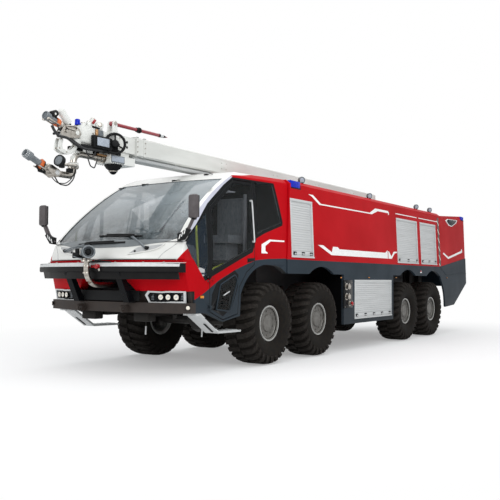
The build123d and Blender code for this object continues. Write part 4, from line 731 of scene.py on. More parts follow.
def is_crossed(face, y_span, z_span):
    """Whether a face reaches into a span of y and a span of z."""
    ys, zs = [vert.co.y for vert in face.verts], [vert.co.z for vert in face.verts]
    in_y = min(ys) < at(max(y_span)) and max(ys) > at(min(y_span))
    return in_y and min(zs) < max(z_span) and max(zs) > min(z_span)


def mask(form, outline):
    """Cuts the faces that a line of y, z points crosses, as masking tape parts two paints."""
    for (y0, z0), (y1, z1) in zip(outline, outline[1:]):
        faces = [face for face in form.faces if is_crossed(face, (y0, y1), (z0, z1))]
        rims = {part for face in faces for part in (*face.verts, *face.edges)}
        across = Vector((0, z1 - z0, y0 - y1)).normalized()
        bmesh.ops.bisect_plane(form, geom=faces + list(rims), dist=1e-6, plane_co=spot(0, y0, z0),
                               plane_no=across)


RED, GREY, WHITE, BLACK, TRIM, PILLAR = range(6)
CAB_FINISHES = [red_enamel, slate_enamel, white_enamel, gloss_black, cabin_trim, pillar_enamel]


def cab_zone(face):
    """Which finish a face of the cab has, from where it lies and where it looks."""
    centre = face.calc_center_median()
    y, z = centre.y - AXLE_1_Y, centre.z
    outer_x = cab_x(y, z) if y > -2.2 else 1.35
    side = abs(face.normal.x) > 0.7
    if side and (abs(centre.x) < outer_x - 0.02 or face.normal.x * centre.x < 0):
        return TRIM
    if side:
        if inside(GLAZING_BAND, y, z) or inside(LOW_PANEL, y, z):
            return BLACK
        if z > 1.97 and y < between([(edge_z, edge_y) for edge_y, edge_z in reversed(PILLAR_EDGE)], z)[0]:
            return PILLAR
        return RED if z > between(RED_EDGE, y)[0] else GREY
    if z > 3.02 and face.normal.z > 0.3:
        return RED if abs(centre.x) > 1.18 and y > -1.0 else WHITE
    if face.normal.y < -0.3 and y < nose(min(abs(centre.x), 1.1), z) + 0.06 and z > 1.9:
        return WHITE
    if face.normal.y > 0.5 and y > 0.3:
        return RED
    return TRIM if z > 1.1 else GREY


for node_name, body in (("cab_shell", "root"), ("door_left", "door_left"), ("door_right", "door_right")):
    form = copy_of(node_name)
    for outline in (RED_EDGE, GLAZING_BAND, LOW_PANEL, ((-3.0, 1.97), (-1.9, 1.97))):
        mask(form, outline)
    form.normal_update()
    for face in form.faces:
        face.material_index = cab_zone(face)
    piece(node_name + "_painted", form, CAB_FINISHES, body, [node_name], smooth=30, cad=True)

form = copy_of("cab_glass")
form.normal_update()
for face in form.faces:
    side = abs(face.normal.x) > 0.75
    face.material_index = side + int(side and face.calc_center_median().y < at(-1.6))
piece("cab_glazing", form, [screen_glass, side_glass, quarter_glass], "root", ["cab_glass"],
      smooth=30, cad=True)


# Sides: stripes, shutters, markers, outlets, lamps

# y, z round the upper and lower stripe of a side
STRIPES = (
    ((1.28, 3.0), (1.46, 3.0), (1.76, 2.862), (3.98, 2.868), (4.28, 2.985), (4.98, 2.985), (5.03, 2.955),
     (5.03, 2.9), (4.985, 2.9), (4.985, 2.935), (4.4, 2.935), (4.1, 2.845), (1.7, 2.838), (1.42, 2.965)),
    ((5.43, 2.972), (6.76, 2.972), (6.76, 2.952), (5.43, 2.952)),
    ((6.9, 2.972), (8.3, 2.972), (8.3, 2.952), (6.9, 2.952)),
    ((1.59, 2.075), (1.8, 2.075), (2.14, 1.955), (2.2, 2.065), (2.4, 2.065), (2.47, 2.025), (4.73, 2.03),
     (4.86, 2.09), (4.875, 1.905), (2.12, 1.9)),
    ((4.905, 1.905), (5.09, 1.905), (5.26, 2.03), (5.42, 2.055), (5.4, 2.075), (5.22, 2.07), (5.07, 1.955),
     (4.94, 2.07), (4.905, 2.07)),
)
CAB_STRIPE = (
    (-0.3, 1.86), (-0.27, 2.01), (-0.03, 2.1), (0.41, 2.1), (0.41, 2.075), (0.0, 2.07), (-0.17, 1.985),
    (-0.18, 1.9), (-0.12, 1.875), (-0.12, 1.86),
)
REAR_STRIPE = (
    (8.62, 2.13), (8.68, 2.165), (9.05, 2.055), (10.2, 2.26), (10.22, 2.31), (10.28, 2.31), (10.29, 2.215),
    (9.04, 2.0),
)
REAR_TICK = ((8.55, 3.02), (8.55, 3.05), (8.88, 3.08), (9.1, 2.92), (9.0, 2.92), (8.84, 3.045))
UPPER_SHUTTERS = ((0.62, 1.4), (5.45, 6.74), (6.97, 8.07))
SHUTTER_Z = (1.83, 2.85)
LOCKER_SHUTTER = (3.15, 5.03, 0.64, 1.41)
SLAT = 0.0425


def on_wall(outline, out, inset=0.0):
    """Points of a y, z outline on the body wall, standing proud of it."""
    return [Vector((wall_x(z) - inset + out, at(y), z)) for y, z in outline]


TAPE = LEFT * -0.004
tape = bmesh.new()
for outline in STRIPES:
    plate(tape, on_wall(outline, 0.002), TAPE)
for outline in (REAR_STRIPE, REAR_TICK):
    plate(tape, on_wall(outline, 0.002, 0.008), TAPE)
plate(tape, [on_cab(y, z, 0.002) for y, z in CAB_STRIPE], TAPE)
both_sides(tape)
piece("side_stripes", tape, [white_tape], smooth=20)

seam_tape = bmesh.new()
plate(seam_tape, on_wall(((8.28, 1.8), (8.4, 1.8), (8.36, 3.07), (8.24, 3.07)), 0.003), TAPE)
both_sides(seam_tape)
piece("seam_marker_tape", seam_tape, [marker_tape], smooth=20)


def wall_strip(form, y, z, out, deep, edge):
    """Strip on the body wall between two y and two z."""
    corners = ((y[0], z[0]), (y[1], z[0]), (y[1], z[1]), (y[0], z[1]))
    plate(form, on_wall(corners, out), LEFT * -deep, edge=edge)


def shutter(form, y0, y1, z0, z1):
    """Roller shutter in its frame: slats, guide rails, head box and a bottom rail with a lift bar."""
    for row in range(int((z1 - z0 - 0.13) / SLAT)):
        z = z0 + 0.11 + (row + 0.5) * SLAT
        x = wall_x(z) - 0.015
        box(form, (x - 0.003, x + 0.01), (y0 + 0.02, y1 - 0.02), span(z, SLAT * 0.46), edge=0.0045)
    for y in ((y0 - 0.014, y0 + 0.024), (y1 - 0.024, y1 + 0.014)):
        wall_strip(form, y, (z0, z1), 0.006, 0.02, 0.002)
    wall_strip(form, (y0 - 0.014, y1 + 0.014), (z1 - 0.03, z1 + 0.016), 0.008, 0.022, 0.003)
    x = wall_x(z0) - 0.015
    box(form, (x - 0.003, x + 0.016), (y0 + 0.02, y1 - 0.02), (z0 + 0.012, z0 + 0.1), edge=0.006)
    grip = x + 0.024
    rod(form, spot(grip, y0 + 0.12, z0 + 0.055), spot(grip, y1 - 0.12, z0 + 0.055), 0.009)
    feet = 5 if y1 - y0 > 1.5 else 3
    for foot in range(feet):
        y = y0 + 0.09 + (y1 - y0 - 0.18) * foot / (feet - 1)
        box(form, (x + 0.01, grip + 0.004), span(y, 0.05), (z0 + 0.034, z0 + 0.092), 1, edge=0.004)
        box(form, (grip, grip + 0.008), span(y, 0.018), (z0 + 0.04, z0 + 0.07), edge=0.003)
    box(form, (x - 0.003, x + 0.03), (y0 - 0.02, y1 + 0.02), span(z0, 0.012), edge=0.004)


slats = bmesh.new()
for y0, y1 in UPPER_SHUTTERS:
    shutter(slats, y0, y1, *SHUTTER_Z)
shutter(slats, *LOCKER_SHUTTER)
both_sides(slats)
piece("shutter_slats", slats, [anodised, black_plastic], smooth=30)

markers = bmesh.new()
for y, z in ((2.52, 1.468), (3.83, 1.474), (5.32, 1.48), (8.88, 1.487)):
    x = BODY_HALF_W - (0.005 if y > 8.4 else 0.0)
    box(markers, (x - 0.004, x + 0.005), span(y, 0.036), span(z, 0.014), 1, edge=0.003)
    box(markers, (x + 0.002, x + 0.009), span(y, 0.028), span(z, 0.009), edge=0.003)
for z, skin in (((1.6, 1.625), 2), ((1.63, 1.66), 3)):
    box(markers, (BODY_HALF_W - 0.004, BODY_HALF_W + 0.008), (6.87, 6.96), z, skin, edge=0.003)
x = cab_x(-1.875, 1.166)
box(markers, (x - 0.004, x + 0.012), (-1.92, -1.84), (1.145, 1.185), edge=0.006)
both_sides(markers)
piece("side_marker_lamps", markers, [amber_lens, black_plastic, white_tape, red_lens])

outlets = bmesh.new()
box(outlets, (1.484, 1.5), (2.62, 3.02), (0.86, 1.42), edge=0.004)
for y, z, bore, cap in ((2.75, 1.29, 0.05, 1), (2.75, 1.09, 0.05, 1), (2.89, 0.95, 0.034, 2)):
    mouth, claw = spot(1.496, y, z), spot(1.562, y, z)
    flange = ((bore + 0.022, 0), (bore + 0.022, 0.008), (bore + 0.014, 0.012), (bore, 0.014), (bore, 0.0))
    turned(outlets, flange, mouth, LEFT, 1)
    lid = (
        (0, 0.064), (0, 0.083), (bore * 0.7, 0.083), (bore * 0.9, 0.079), (bore + 0.006, 0.07),
        (bore + 0.006, 0.05), (bore - 0.004, 0.048), (bore - 0.004, 0.064),
    )
    turned(outlets, lid, mouth, LEFT, cap)
    for out in around(3, BACK, UP, pi / 2):
        rod(outlets, claw + out * (bore - 0.004), claw + out * (bore + 0.022), 0.008, 1, sides=10)
for corner in ((2.69, 0.885), (2.995, 0.885), (2.69, 1.375), (2.995, 1.375)):
    bolt(outlets, spot(1.495, *corner), spot(1.501, *corner), 0.009, 1)
piece("outlet_panel", outlets, [gloss_black, stainless, red_lens])

flood = bmesh.new()
for y in (1.25, 4.25, 7.06, 8.03):
    base, aim = spot(1.305, y, 3.262), Vector((0.85, -0.45, -0.2)).normalized()
    turned(flood, ((0, -0.05), (0.035, -0.045), (0.06, -0.018), (0.064, 0.022), (0.057, 0.03),
                   (0.0, 0.024)), base, aim, 2)
    turned(flood, ((0.0, 0.02), (0.052, 0.02), (0.05, 0.03), (0.0, 0.036)), base, aim, 1)
    turned(flood, ((0.06, 0.012), (0.067, 0.014), (0.067, 0.03), (0.055, 0.033)), base, aim)
    side = aim.cross(UP).normalized()
    for out in around(8, side, aim.cross(side)):
        bolt(flood, base - aim * 0.03 + out * 0.04, base + aim * 0.005 + out * 0.063, 0.006)
    box(flood, (1.27, 1.335), span(y, 0.02), (3.196, 3.222), 2, edge=0.005)
    bracket = [base + BACK * 0.06, spot(1.3, y + 0.06, 3.21), spot(1.3, y - 0.06, 3.21), base - BACK * 0.06]
    bent(flood, bracket, 0.02, 0.007, 2)
both_sides(flood)
piece("roof_floodlights", flood, [grey_plastic, flood_glass, black_plastic],
      replaces=["roof_lamps"])

beacon = bmesh.new()
for y0, y1, x0, z0 in ((0.66, 1.02, 1.29, 3.045), (10.3, 10.56, 1.3, 3.13)):
    top = 3.2 if y0 < 5 else 3.262
    x1 = wall_x(z0) - 0.002
    box(beacon, (x0, x1 + 0.004), (y0 + 0.004, y1 - 0.004), (z0 + 0.002, z0 + 0.022), 1, edge=0.004)
    box(beacon, (x0 + 0.01, x1 - 0.002), (y0 + 0.008, y1 - 0.008), (z0 + 0.02, top - 0.004), edge=0.022)
    for rib in range(1, 6):
        y = y0 + (y1 - y0) * rib / 6
        box(beacon, (x0 + 0.02, x1 + 0.001), span(y, 0.004), (z0 + 0.03, top - 0.02), edge=0.002)
both_sides(beacon)
piece("corner_beacons", beacon, [blue_lens, black_plastic], replaces=["beacons"])

HEXAGON = ((8.93, 3.04), (9.1, 3.1), (9.95, 3.12), (9.85, 3.03), (9.45, 2.91), (9.2, 2.92))
hexagon = bmesh.new()
for share, out, skin in ((1.0, 0.012, 1), (0.82, 0.016, 0), (0.7, 0.02, 2)):
    ring = [(9.42 + (y - 9.42) * share, 3.03 + (z - 3.03) * share) for y, z in HEXAGON]
    plate(hexagon, on_wall(ring, out, 0.008), Vector((-0.01, 0, 0)), skin, edge=0.001)
for ends in (((8.35, 1.77), (8.84, 1.56)), ((8.84, 1.56), (10.4, 1.63))):
    pipe(hexagon, at_x(BODY_HALF_W - 0.004, ends), 0.006, 3, sides=6)
box(hexagon, (1.35, 1.47), (10.36, 10.45), (1.38, 1.45), edge=0.015)
box(hexagon, (1.36, 1.46), (10.42, 10.5), (1.56, 1.62), edge=0.015)
bent(hexagon, at_x(1.3, ((9.9, 1.18), (10.12, 1.1), (10.14, 1.16))), 0.03, 0.02)
both_sides(hexagon)
piece("rear_side_lamp", hexagon, [black_plastic, white_tape, quarter_glass, slate_enamel])


# Nose: rounded hood with wiper wells, wipers, bar, headlights and grille

def is_front_edge(edge):
    """Whether an edge of the hood is a sharp and level one at its front."""
    first, second = (vert.co for vert in edge.verts)
    sharp = len(edge.link_faces) == 2 and edge.calc_face_angle() > radians(40)
    return sharp and max(first.y, second.y) < at(-2.2) and abs(first.z - second.z) < 0.02


hood = copy_of("front_hood")
soften(hood, [edge for edge in hood.edges if is_front_edge(edge)], 0.055, 4)
HOOD_CORNER, CORNER_FACING = (1.42, -2.493, 1.707), (-0.144, -0.096, 0.149)
for hand in (1, -1):  # the red of the sides climbs onto the hood's rear corners
    low, up = spot(*HOOD_CORNER), Vector(CORNER_FACING)
    low.x, up.x = low.x * hand, up.x * hand
    everything = hood.verts[:] + hood.edges[:] + hood.faces[:]
    bmesh.ops.bisect_plane(hood, geom=everything, dist=1e-6, plane_co=low, plane_no=up)
    for face in hood.faces:
        centre = face.calc_center_median()
        if centre.x * hand > 1 and (centre - low).dot(up) < 0:
            face.material_index = 1
piece("moulded_hood", hood, [white_enamel, red_enamel], replaces=["front_hood"],
      smooth=50, cad=True)

# x, lower z and upper z of a wiper well
WELL = (
    (0.57, 1.788, 1.796), (0.68, 1.805, 1.885), (0.8, 1.823, 1.905), (0.97, 1.856, 1.92), (1.06, 1.9, 1.93),
    (1.08, 1.924, 1.93),
)
# x, z of the glass edge
SCREEN_FOOT = ((0.0, 1.888), (0.5, 1.894), (0.7, 1.912), (0.83, 1.93), (1.05, 1.96), (1.17, 1.984))
SCREEN_FOOT_TOP = 2.004


def nose_patch(form, rows, out, deep, skin):
    """Patch that follows the nose, from rows of x, lower z and upper z."""
    def fit(u, v):
        x = rows[0][0] + (rows[-1][0] - rows[0][0]) * u
        low, high = between(rows, x)
        return on_nose(x, low + (high - low) * v, out)
    sheet(form, 20, 3, fit, BACK * deep, skin)


def nose_line(points, out):
    """Route over the nose through places of x and z."""
    return [on_nose(p.x, p.z, out) for p in rounded([Vector((x, 0, z)) for x, z in points], 0.04)]


trim = bmesh.new()
nose_patch(trim, WELL, 0.002, 0.01, 0)
nose_patch(trim, [(x, z, SCREEN_FOOT_TOP) for x, z in SCREEN_FOOT], 0.007, 0.014, 3)
nose_patch(trim, ((1.17, 1.978, 1.985), (1.28, 1.978, 2.03), (1.36, 1.978, 2.05)), 0.004, 0.01, 1)
lip = [(0.56, 1.785), (0.68, 1.8), (0.8, 1.818), (0.97, 1.85), (1.07, 1.9), (1.085, 1.92)]
pipe(trim, nose_line(lip, 0.004), 0.012, 1)
for x, z in ((0.66, 1.83), (0.85, 1.866)):
    rod(trim, on_nose(x, z, -0.01), on_nose(x, z, 0.01), 0.017, 2)
pipe(trim, nose_line([(x, 1.706) for x in (0.02, 0.4, 0.9, 1.3)], 0.002), 0.006, 2, sides=6)
pipe(trim, nose_line([(1.05, 1.72), (1.1, 1.8), (1.27, 1.94)], 0.001), 0.004, sides=6)
both_sides(trim)
piece("wiper_wells", trim, [well_grey, white_enamel, black_plastic, smoked_foot])

wipers = bmesh.new()
for pivot, elbow, (x0, z0), (x1, z1) in (
    ((0.85, 1.875), (0.5, 2.075), (-0.14, 2.075), (0.68, 2.06)),
    ((-0.85, 1.855), (-0.26, 1.955), (-0.5, 1.95), (0.46, 1.965)),
):
    def on_blade(share, lift):
        return on_nose(x0 + (x1 - x0) * share, z0 + (z1 - z0) * share, lift)
    hub, knee = on_nose(*pivot, 0.02), on_nose(*elbow, 0.045)
    bend = hub.lerp(knee, 0.3)
    rod(wipers, hub + BACK * 0.03, hub + Vector((0, -0.025, 0.004)), 0.026, sides=14)
    pipe(wipers, [hub + BACK * -0.014, bend + Vector((0, -0.02, 0.012)), knee], 0.012, 1, sides=8)
    pipe(wipers, [hub + Vector((0, -0.01, -0.025)), bend + Vector((0, -0.016, -0.012)), knee - UP * 0.02],
         0.008, 1, sides=8)
    run = [on_blade(share / 10, 0.012) for share in range(11)]
    pipe(wipers, run, 0.015, sides=6)
    pipe(wipers, [p + Vector((0, -0.01, 0.024)) for p in run[2:9]], 0.01, sides=6)
    bridge = [on_blade(share, 0.03 + 0.018 * (1 - abs(2 * share - 1)))
              for share in (0.12, 0.3, 0.5, 0.7, 0.88)]
    pipe(wipers, bridge, 0.009, sides=6)
    y = knee.y - AXLE_1_Y
    box(wipers, span(knee.x, 0.05), (y - 0.02, y + 0.03), span(knee.z, 0.018))
piece("windscreen_wipers", wipers, [black_plastic, grey_plastic])


def bar_strip(form, reach, y_end, y_nose, low, high, deep, thickness, skin):
    """Strip bowed across the nose, from its front edge at one height to its back edge at another."""
    rise = y_end - y_nose
    radius = (reach * reach + rise * rise) / (2 * rise)

    def fit(u, v):
        x = reach * (2 * u - 1)
        return spot(x, y_nose + radius - sqrt(radius * radius - x * x) + deep * v, low + (high - low) * v)
    sheet(form, 32, 1, fit, thickness, skin)


bar = bmesh.new()
for z, y in ((1.53, -2.705), (1.17, -2.515)):
    for x in (0.49, 0.55):
        bolt(bar, spot(x, y, z), spot(x, y + 0.03, z), 0.01, 2)
box(bar, (0.445, 0.595), (-2.5, -2.4), (1.076, 1.092), 1)
both_sides(bar)
bar_strip(bar, 1.452, -2.458, -2.803, 1.604, 1.654, 0.012, BACK * 0.012, 0)
bar_strip(bar, 1.452, -2.446, -2.791, 1.652, 1.66, 0.15, UP * 0.006, 0)
bar_strip(bar, 1.4, -2.4, -2.752, 1.42, 1.54, -0.03, BACK * 0.03, 1)
bar_strip(bar, 1.452, -2.462, -2.806, 1.53, 1.6, 0.0, BACK * 0.016, 1)
for x in (-1.2, -0.9, -0.3, 0.45, 0.9, 1.2):
    y = -2.72 + (x * x) * 0.162
    rod(bar, spot(x, y, 1.655), spot(x, y, 1.674), 0.014, 2, sides=6, edge=0.002)
piece("bar_cover_plate", bar, [anodised, bar_black, stainless])

# x, z round the outside and the inside of a headlight's rim
LAMP_RIM = (
    (0.742, 1.19), (0.8, 1.252), (1.02, 1.244), (1.09, 1.252), (1.362, 1.252), (1.35, 1.08), (1.12, 1.078),
    (1.07, 1.068), (0.79, 1.068),
)
LAMP_HOLE = (
    (0.775, 1.183), (0.818, 1.228), (1.02, 1.222), (1.1, 1.229), (1.336, 1.229), (1.326, 1.102),
    (1.12, 1.1), (1.06, 1.092), (0.806, 1.092),
)
lights = bmesh.new()
rim = list(zip(LAMP_RIM, LAMP_HOLE))
for hand in (1, -1):
    for (a, b), (c, d) in zip(rim, rim[1:] + rim[:1]):
        facet = ((*a, 0.02), (*c, 0.02), (*d, 0.014), (*b, 0.014))
        plate(lights, [on_nose(hand * x, z, out) for x, z, out in facet], BACK * 0.03)
    plate(lights, [on_nose(hand * x, z, 0.002) for x, z in LAMP_HOLE], BACK * 0.01, 1)
    aim = Vector((hand * 0.2, -1, 0)).normalized()
    for x, r in ((0.985, 0.042), (1.1, 0.042), (1.222, 0.044)):
        base = on_nose(hand * x, 1.163, -0.008)
        turned(lights, ((r + 0.009, 0), (r + 0.009, 0.026), (r, 0.03), (r - 0.006, 0.02), (r - 0.006, 0.0)),
               base, aim, 1)
        turned(lights, ((0, 0.02), (r * 0.6, 0.025), (r - 0.004, 0.03), (r - 0.004, 0.0), (0, 0.0)), base,
               aim, 2)
        disc(lights, base + aim * 0.024, aim, 0.016, 0.01, 3, 0.003)
    for x, z in ((0.85, 1.16), (1.302, 1.165)):
        y = nose(x, z)
        for row in range(4):
            box(lights, span(hand * x, 0.02), (y - 0.008, y + 0.01), span(z - 0.033 + row * 0.022, 0.006),
                4, edge=0.003)
    aim = Vector((hand * 0.62, -0.78, 0)).normalized()
    corner = spot(hand * 1.416, -2.2, 1.014)
    turned(lights, ((0.036, 0), (0.036, 0.014), (0.03, 0.018), (0.03, 0.0)), corner, aim, 1)
    turned(lights, ((0, 0), (0.03, 0), (0.03, 0.012), (0.02, 0.022), (0, 0.025)), corner, aim, 2)
piece("headlight_units", lights, [anodised, gloss_black, lit_lamp, clear_lens, grey_plastic])


def bumper_fit(u, v):
    """Place on the middle of the bumper's face."""
    x = 1.32 * (u - 0.5)
    return spot(x, -2.456 + 0.126 * x * x, 1.1 + 0.148 * v)


grille = bmesh.new()
box(grille, (0.26, 0.3), (-2.275, -2.2), (1.255, 1.42), edge=0.004)
rod(grille, spot(0.25, -2.3, 1.155), spot(0.25, -2.38, 1.15), 0.05, 1, sides=24)
both_sides(grille)
for z in (1.275, 1.31, 1.345, 1.38, 1.415):
    half = 0.585 - 0.85 * (z - 1.245)
    box(grille, (-half, half), (-2.27, -2.2), span(z, 0.008), edge=0.003)
backing = [spot(x, -2.23, z) for x, z in ((-0.6, 1.245), (0.6, 1.245), (0.44, 1.42), (-0.44, 1.42))]
plate(grille, backing, BACK * 0.02)
sheet(grille, 20, 1, bumper_fit, BACK * 0.012)
box(grille, (-0.45, 0.45), (-2.36, -2.33), (1.1, 1.235), 1, edge=0.01)
piece("nose_grille", grille, [black_plastic, bumper_plastic])


# Boom: the head's lamps, guide wheel, fittings, nozzles and conduit, then the lance and the collar

lamps = bmesh.new()
box(lamps, (0.13, 0.2), (-2.9, -2.52), (3.34, 3.53), edge=0.018)
box(lamps, (0.196, 0.212), (-2.86, -2.585), (3.365, 3.512), edge=0.006)
box(lamps, (0.205, 0.216), (-2.845, -2.6), (3.378, 3.5), 1, edge=0.005)
for rib in range(7):
    y = -2.51 + rib * 0.02
    box(lamps, (0.132, 0.185), span(y, 0.005), (3.35, 3.51), edge=0.003)
box(lamps, (0.1, 0.168), (-3.08, -2.3), (3.3, 3.365), edge=0.012)
box(lamps, (0.15, 0.156), (-2.5, -2.21), (3.186, 3.296), 2, edge=0.003)
box(lamps, (0.154, 0.16), (-2.485, -2.225), (3.2, 3.284), 1, edge=0.004)
for rib in range(6):
    y = -2.47 + rib * 0.046
    rod(lamps, spot(0.15, y, 3.17), spot(0.15, y, 3.19), 0.009, 2, sides=8, edge=0)
both_sides(lamps)
piece("boom_head_floodlights", lamps, [black_plastic, flood_glass, grey_plastic], "boom_extension")

guide = bmesh.new()
hub, aim = spot(0.22, -2.49, 3.455), Vector((0.8, -0.6, 0)).normalized()
hoop(guide, hub, aim, 0.148, 0.021, 0, 12)
disc(guide, hub - aim * 0.05, aim, 0.055, 0.085, 0, 0.01)
for out in around(3, aim.cross(UP), UP, pi / 2):
    rod(guide, hub, hub + out * 0.14, 0.013, sides=8)
rod(guide, hub - aim * 0.05, spot(0.12, -2.42, 3.455), 0.032, 1)
for z in (3.47, 3.37):
    rod(guide, spot(0.13, -2.34, z), spot(0.16, -2.34, z), 0.02, edge=0.004)
dome = [(0.055 * cos(a), 0.045 * sin(a)) for a in [i * pi / 16 for i in range(9)]]
cone = ((0, 0), (0.125, 0), (0.112, 0.03), (0.07, 0.06), (0.062, 0.085), (0, 0.085))
disc(guide, spot(0.0, -2.3, 3.177), -UP, 0.135, 0.03, 0, 0.008)
turned(guide, cone, spot(0.0, -2.3, 3.15), -UP)
disc(guide, spot(0.0, -2.3, 3.078), -UP, 0.07, 0.012, 1, 0.004)
turned(guide, [(0.0, 0.0)] + dome, spot(0.0, -2.3, 3.07), -UP, 2)
piece("guide_wheel", guide, [black_plastic, stainless, gloss_black], "boom_extension")

top = bmesh.new()
box(top, (-0.1, 0.119), (-3.09, -2.8), (3.4, 3.645), edge=0.014)
box(top, (0.112, 0.125), (-3.07, -2.83), (3.415, 3.6), edge=0.008)
disc(top, spot(0.125, -2.85, 3.56), LEFT, 0.012, 0.012, 1)
box(top, (-0.06, 0.12), (-2.79, -2.63), (3.5, 3.64), 4, edge=0.014)
rod(top, spot(0.11, -2.77, 3.53), spot(0.11, -2.77, 3.63), 0.03, 5, edge=0.006)
for y, x, tall, wide in ((-2.99, 0.06, 0.05, 0.045), (-2.9, 0.08, 0.085, 0.04), (-2.8, 0.06, 0.15, 0.042),
                         (-2.7, 0.08, 0.08, 0.05)):
    base = 3.64
    rod(top, spot(x, y, base - 0.01), spot(x, y, base + tall), wide, sides=24, edge=0.008)
    disc(top, spot(x, y, base + tall - 0.004), UP, wide * 0.7, 0.016, 1, 0.003)
disc(top, spot(0.1, -2.7, 3.705), (0.85, -0.5, 0), 0.062, 0.04, 0, 0.012)
disc(top, spot(0.13, -2.718, 3.705), (0.85, -0.5, 0), 0.034, 0.014, 1, 0.004)
rod(top, spot(0.09, -2.83, 3.71), spot(0.12, -2.8, 3.77), 0.02, 2, edge=0.005)
rod(top, spot(0.12, -2.86, 3.66), spot(0.12, -2.7, 3.65), 0.014, 3)
for y in (-2.2, -2.3):
    for z in (3.42, 3.58):
        bolt(top, spot(0.13, y, z), spot(0.142, y, z), 0.012, 1)
for z in (3.46, 3.54):
    disc(top, spot(0.131, -2.14, z), LEFT, 0.02, 0.006, 3, 0.002)
for x in (0.078, 0.202):
    disc(top, spot(x, -2.47, 3.77), (1 if x > 0.1 else -1, 0, 0), 0.03, 0.012, 1)
piece("boom_head_fittings", top, [boom_enamel, stainless, red_lens, gloss_black, grey_plastic, bronze],
      "boom_extension")

light = bmesh.new()
disc(light, spot(0.02, -3.06, 3.64), UP, 0.044, 0.016, 1)
turned(light, ((0, 0), (0.038, 0), (0.038, 0.075), (0.034, 0.088), (0.026, 0.092), (0, 0.092)),
       spot(0.02, -3.06, 3.652), UP)
for ring in (0.02, 0.045, 0.07):
    turned(light, ((0.036, 0), (0.0395, 0.003), (0.0395, 0.007), (0.036, 0.01)),
           spot(0.02, -3.06, 3.65 + ring), UP)
piece("boom_head_beacon", light, [blue_lens, black_plastic], "boom_extension")

upper = bmesh.new()
aim = Vector((0, -0.955, 0.295)).normalized()
root = spot(0.095, -3.33, 3.55)
turned(upper, ((0.0, 0.0), (0.04, 0.0), (0.04, 0.09), (0.05, 0.1), (0.05, 0.125), (0.04, 0.135),
               (0.04, 0.16), (0.0, 0.16)), root, aim)
turned(upper, ((0.0, 0.15), (0.058, 0.155), (0.062, 0.168), (0.062, 0.2), (0.058, 0.213), (0.0, 0.218)),
       root, aim, 2)
turned(upper, ((0.0, 0.21), (0.04, 0.21), (0.036, 0.3), (0.052, 0.33), (0.057, 0.335), (0.057, 0.355),
               (0.051, 0.36), (0.057, 0.365), (0.057, 0.41), (0.05, 0.418), (0.044, 0.395), (0.0, 0.385)),
       root, aim, 3)
for out in around(12, LEFT, aim.cross(LEFT)):
    bolt(upper, root + aim * 0.365 + out * 0.055, root + aim * 0.41 + out * 0.055, 0.006, 3)
for x in (0.05, 0.14):
    rod(upper, spot(x, -3.5, 3.565), spot(x, -3.68, 3.62), 0.012)
    rod(upper, spot(x, -3.68, 3.62), spot(x, -3.72, 3.62), 0.02)
rod(upper, spot(0.1, -3.46, 3.79), spot(0.1, -3.3, 3.625), 0.056, 1, sides=32, edge=0.014)
rod(upper, spot(0.1, -3.315, 3.64), spot(0.1, -3.28, 3.6), 0.03, 4, sides=16, edge=0.006)
rod(upper, spot(0.1, -3.63, 3.69), spot(0.1, -3.52, 3.735), 0.046, 4, sides=24, edge=0.012)
rod(upper, spot(0.1, -3.55, 3.7), spot(0.1, -3.5, 3.6), 0.02, 4, edge=0.005)
disc(upper, spot(0.14, -3.58, 3.705), LEFT, 0.016, 0.012, 1, 0.003)
bracket = (
    (-3.48, 3.47), (-3.43, 3.55), (-3.32, 3.6), (-3.14, 3.585), (-3.09, 3.5), (-3.14, 3.44), (-3.3, 3.42),
    (-3.45, 3.41),
)
for x in (0.03, 0.13):
    plate(upper, at_x(x, bracket), LEFT * 0.012, edge=0.004)
    disc(upper, spot(x + 0.011, -3.37, 3.51), LEFT, 0.03, 0.01, 4, 0.003)
    disc(upper, spot(x + 0.011, -3.17, 3.51), LEFT, 0.034, 0.008, 1, 0.003)
loop = at_x(0.15, ((-3.36, 3.58), (-3.2, 3.6), (-3.17, 3.56), (-3.21, 3.535), (-3.36, 3.545),
                   (-3.39, 3.565), (-3.36, 3.58)))
pipe(upper, rounded(loop, 0.012, 3), 0.009, sides=8)
rod(upper, spot(0.085, -3.46, 3.47), spot(0.085, -3.09, 3.5), 0.038, 1, sides=20, edge=0.008)
rod(upper, spot(0.0, -3.38, 3.5), spot(0.17, -3.38, 3.5), 0.022)
rod(upper, spot(0.04, -3.52, 3.45), spot(0.16, -3.52, 3.45), 0.018, 4)
crescent = (
    (-3.47, 3.395), (-3.49, 3.34), (-3.51, 3.235), (-3.46, 3.2), (-3.36, 3.18), (-3.25, 3.195),
    (-3.17, 3.26), (-3.12, 3.37), (-3.15, 3.38), (-3.2, 3.31), (-3.27, 3.25), (-3.35, 3.235), (-3.42, 3.25),
    (-3.43, 3.3), (-3.41, 3.37), (-3.43, 3.4),
)
for x in (0.03, 0.11):
    plate(upper, at_x(x, crescent), LEFT * 0.014, 1, edge=0.004)
for y, z in ((-3.45, 3.38), (-3.48, 3.25), (-3.35, 3.21), (-3.15, 3.33)):
    rod(upper, spot(0.025, y, z), spot(0.129, y, z), 0.012)
rod(upper, spot(0.1, -3.44, 3.38), spot(0.1, -3.42, 3.44), 0.03, 1)
box(upper, (0.02, 0.11), (-3.18, -3.06), (3.36, 3.44), 1, edge=0.01)
piece("upper_nozzle", upper, [stainless, boom_enamel, orange_plastic, grey_plastic, black_plastic],
      "boom_extension")

CONDUIT_R = 0.0475


def flange_bolts(form, z, skin):
    """Ring of bolt heads round the joint of the head's conduit."""
    for out in around(10, LEFT, BACK):
        foot = spot(0, -3.11, z) + out * 0.064
        bolt(form, foot, foot + UP * 0.016, 0.009, skin)


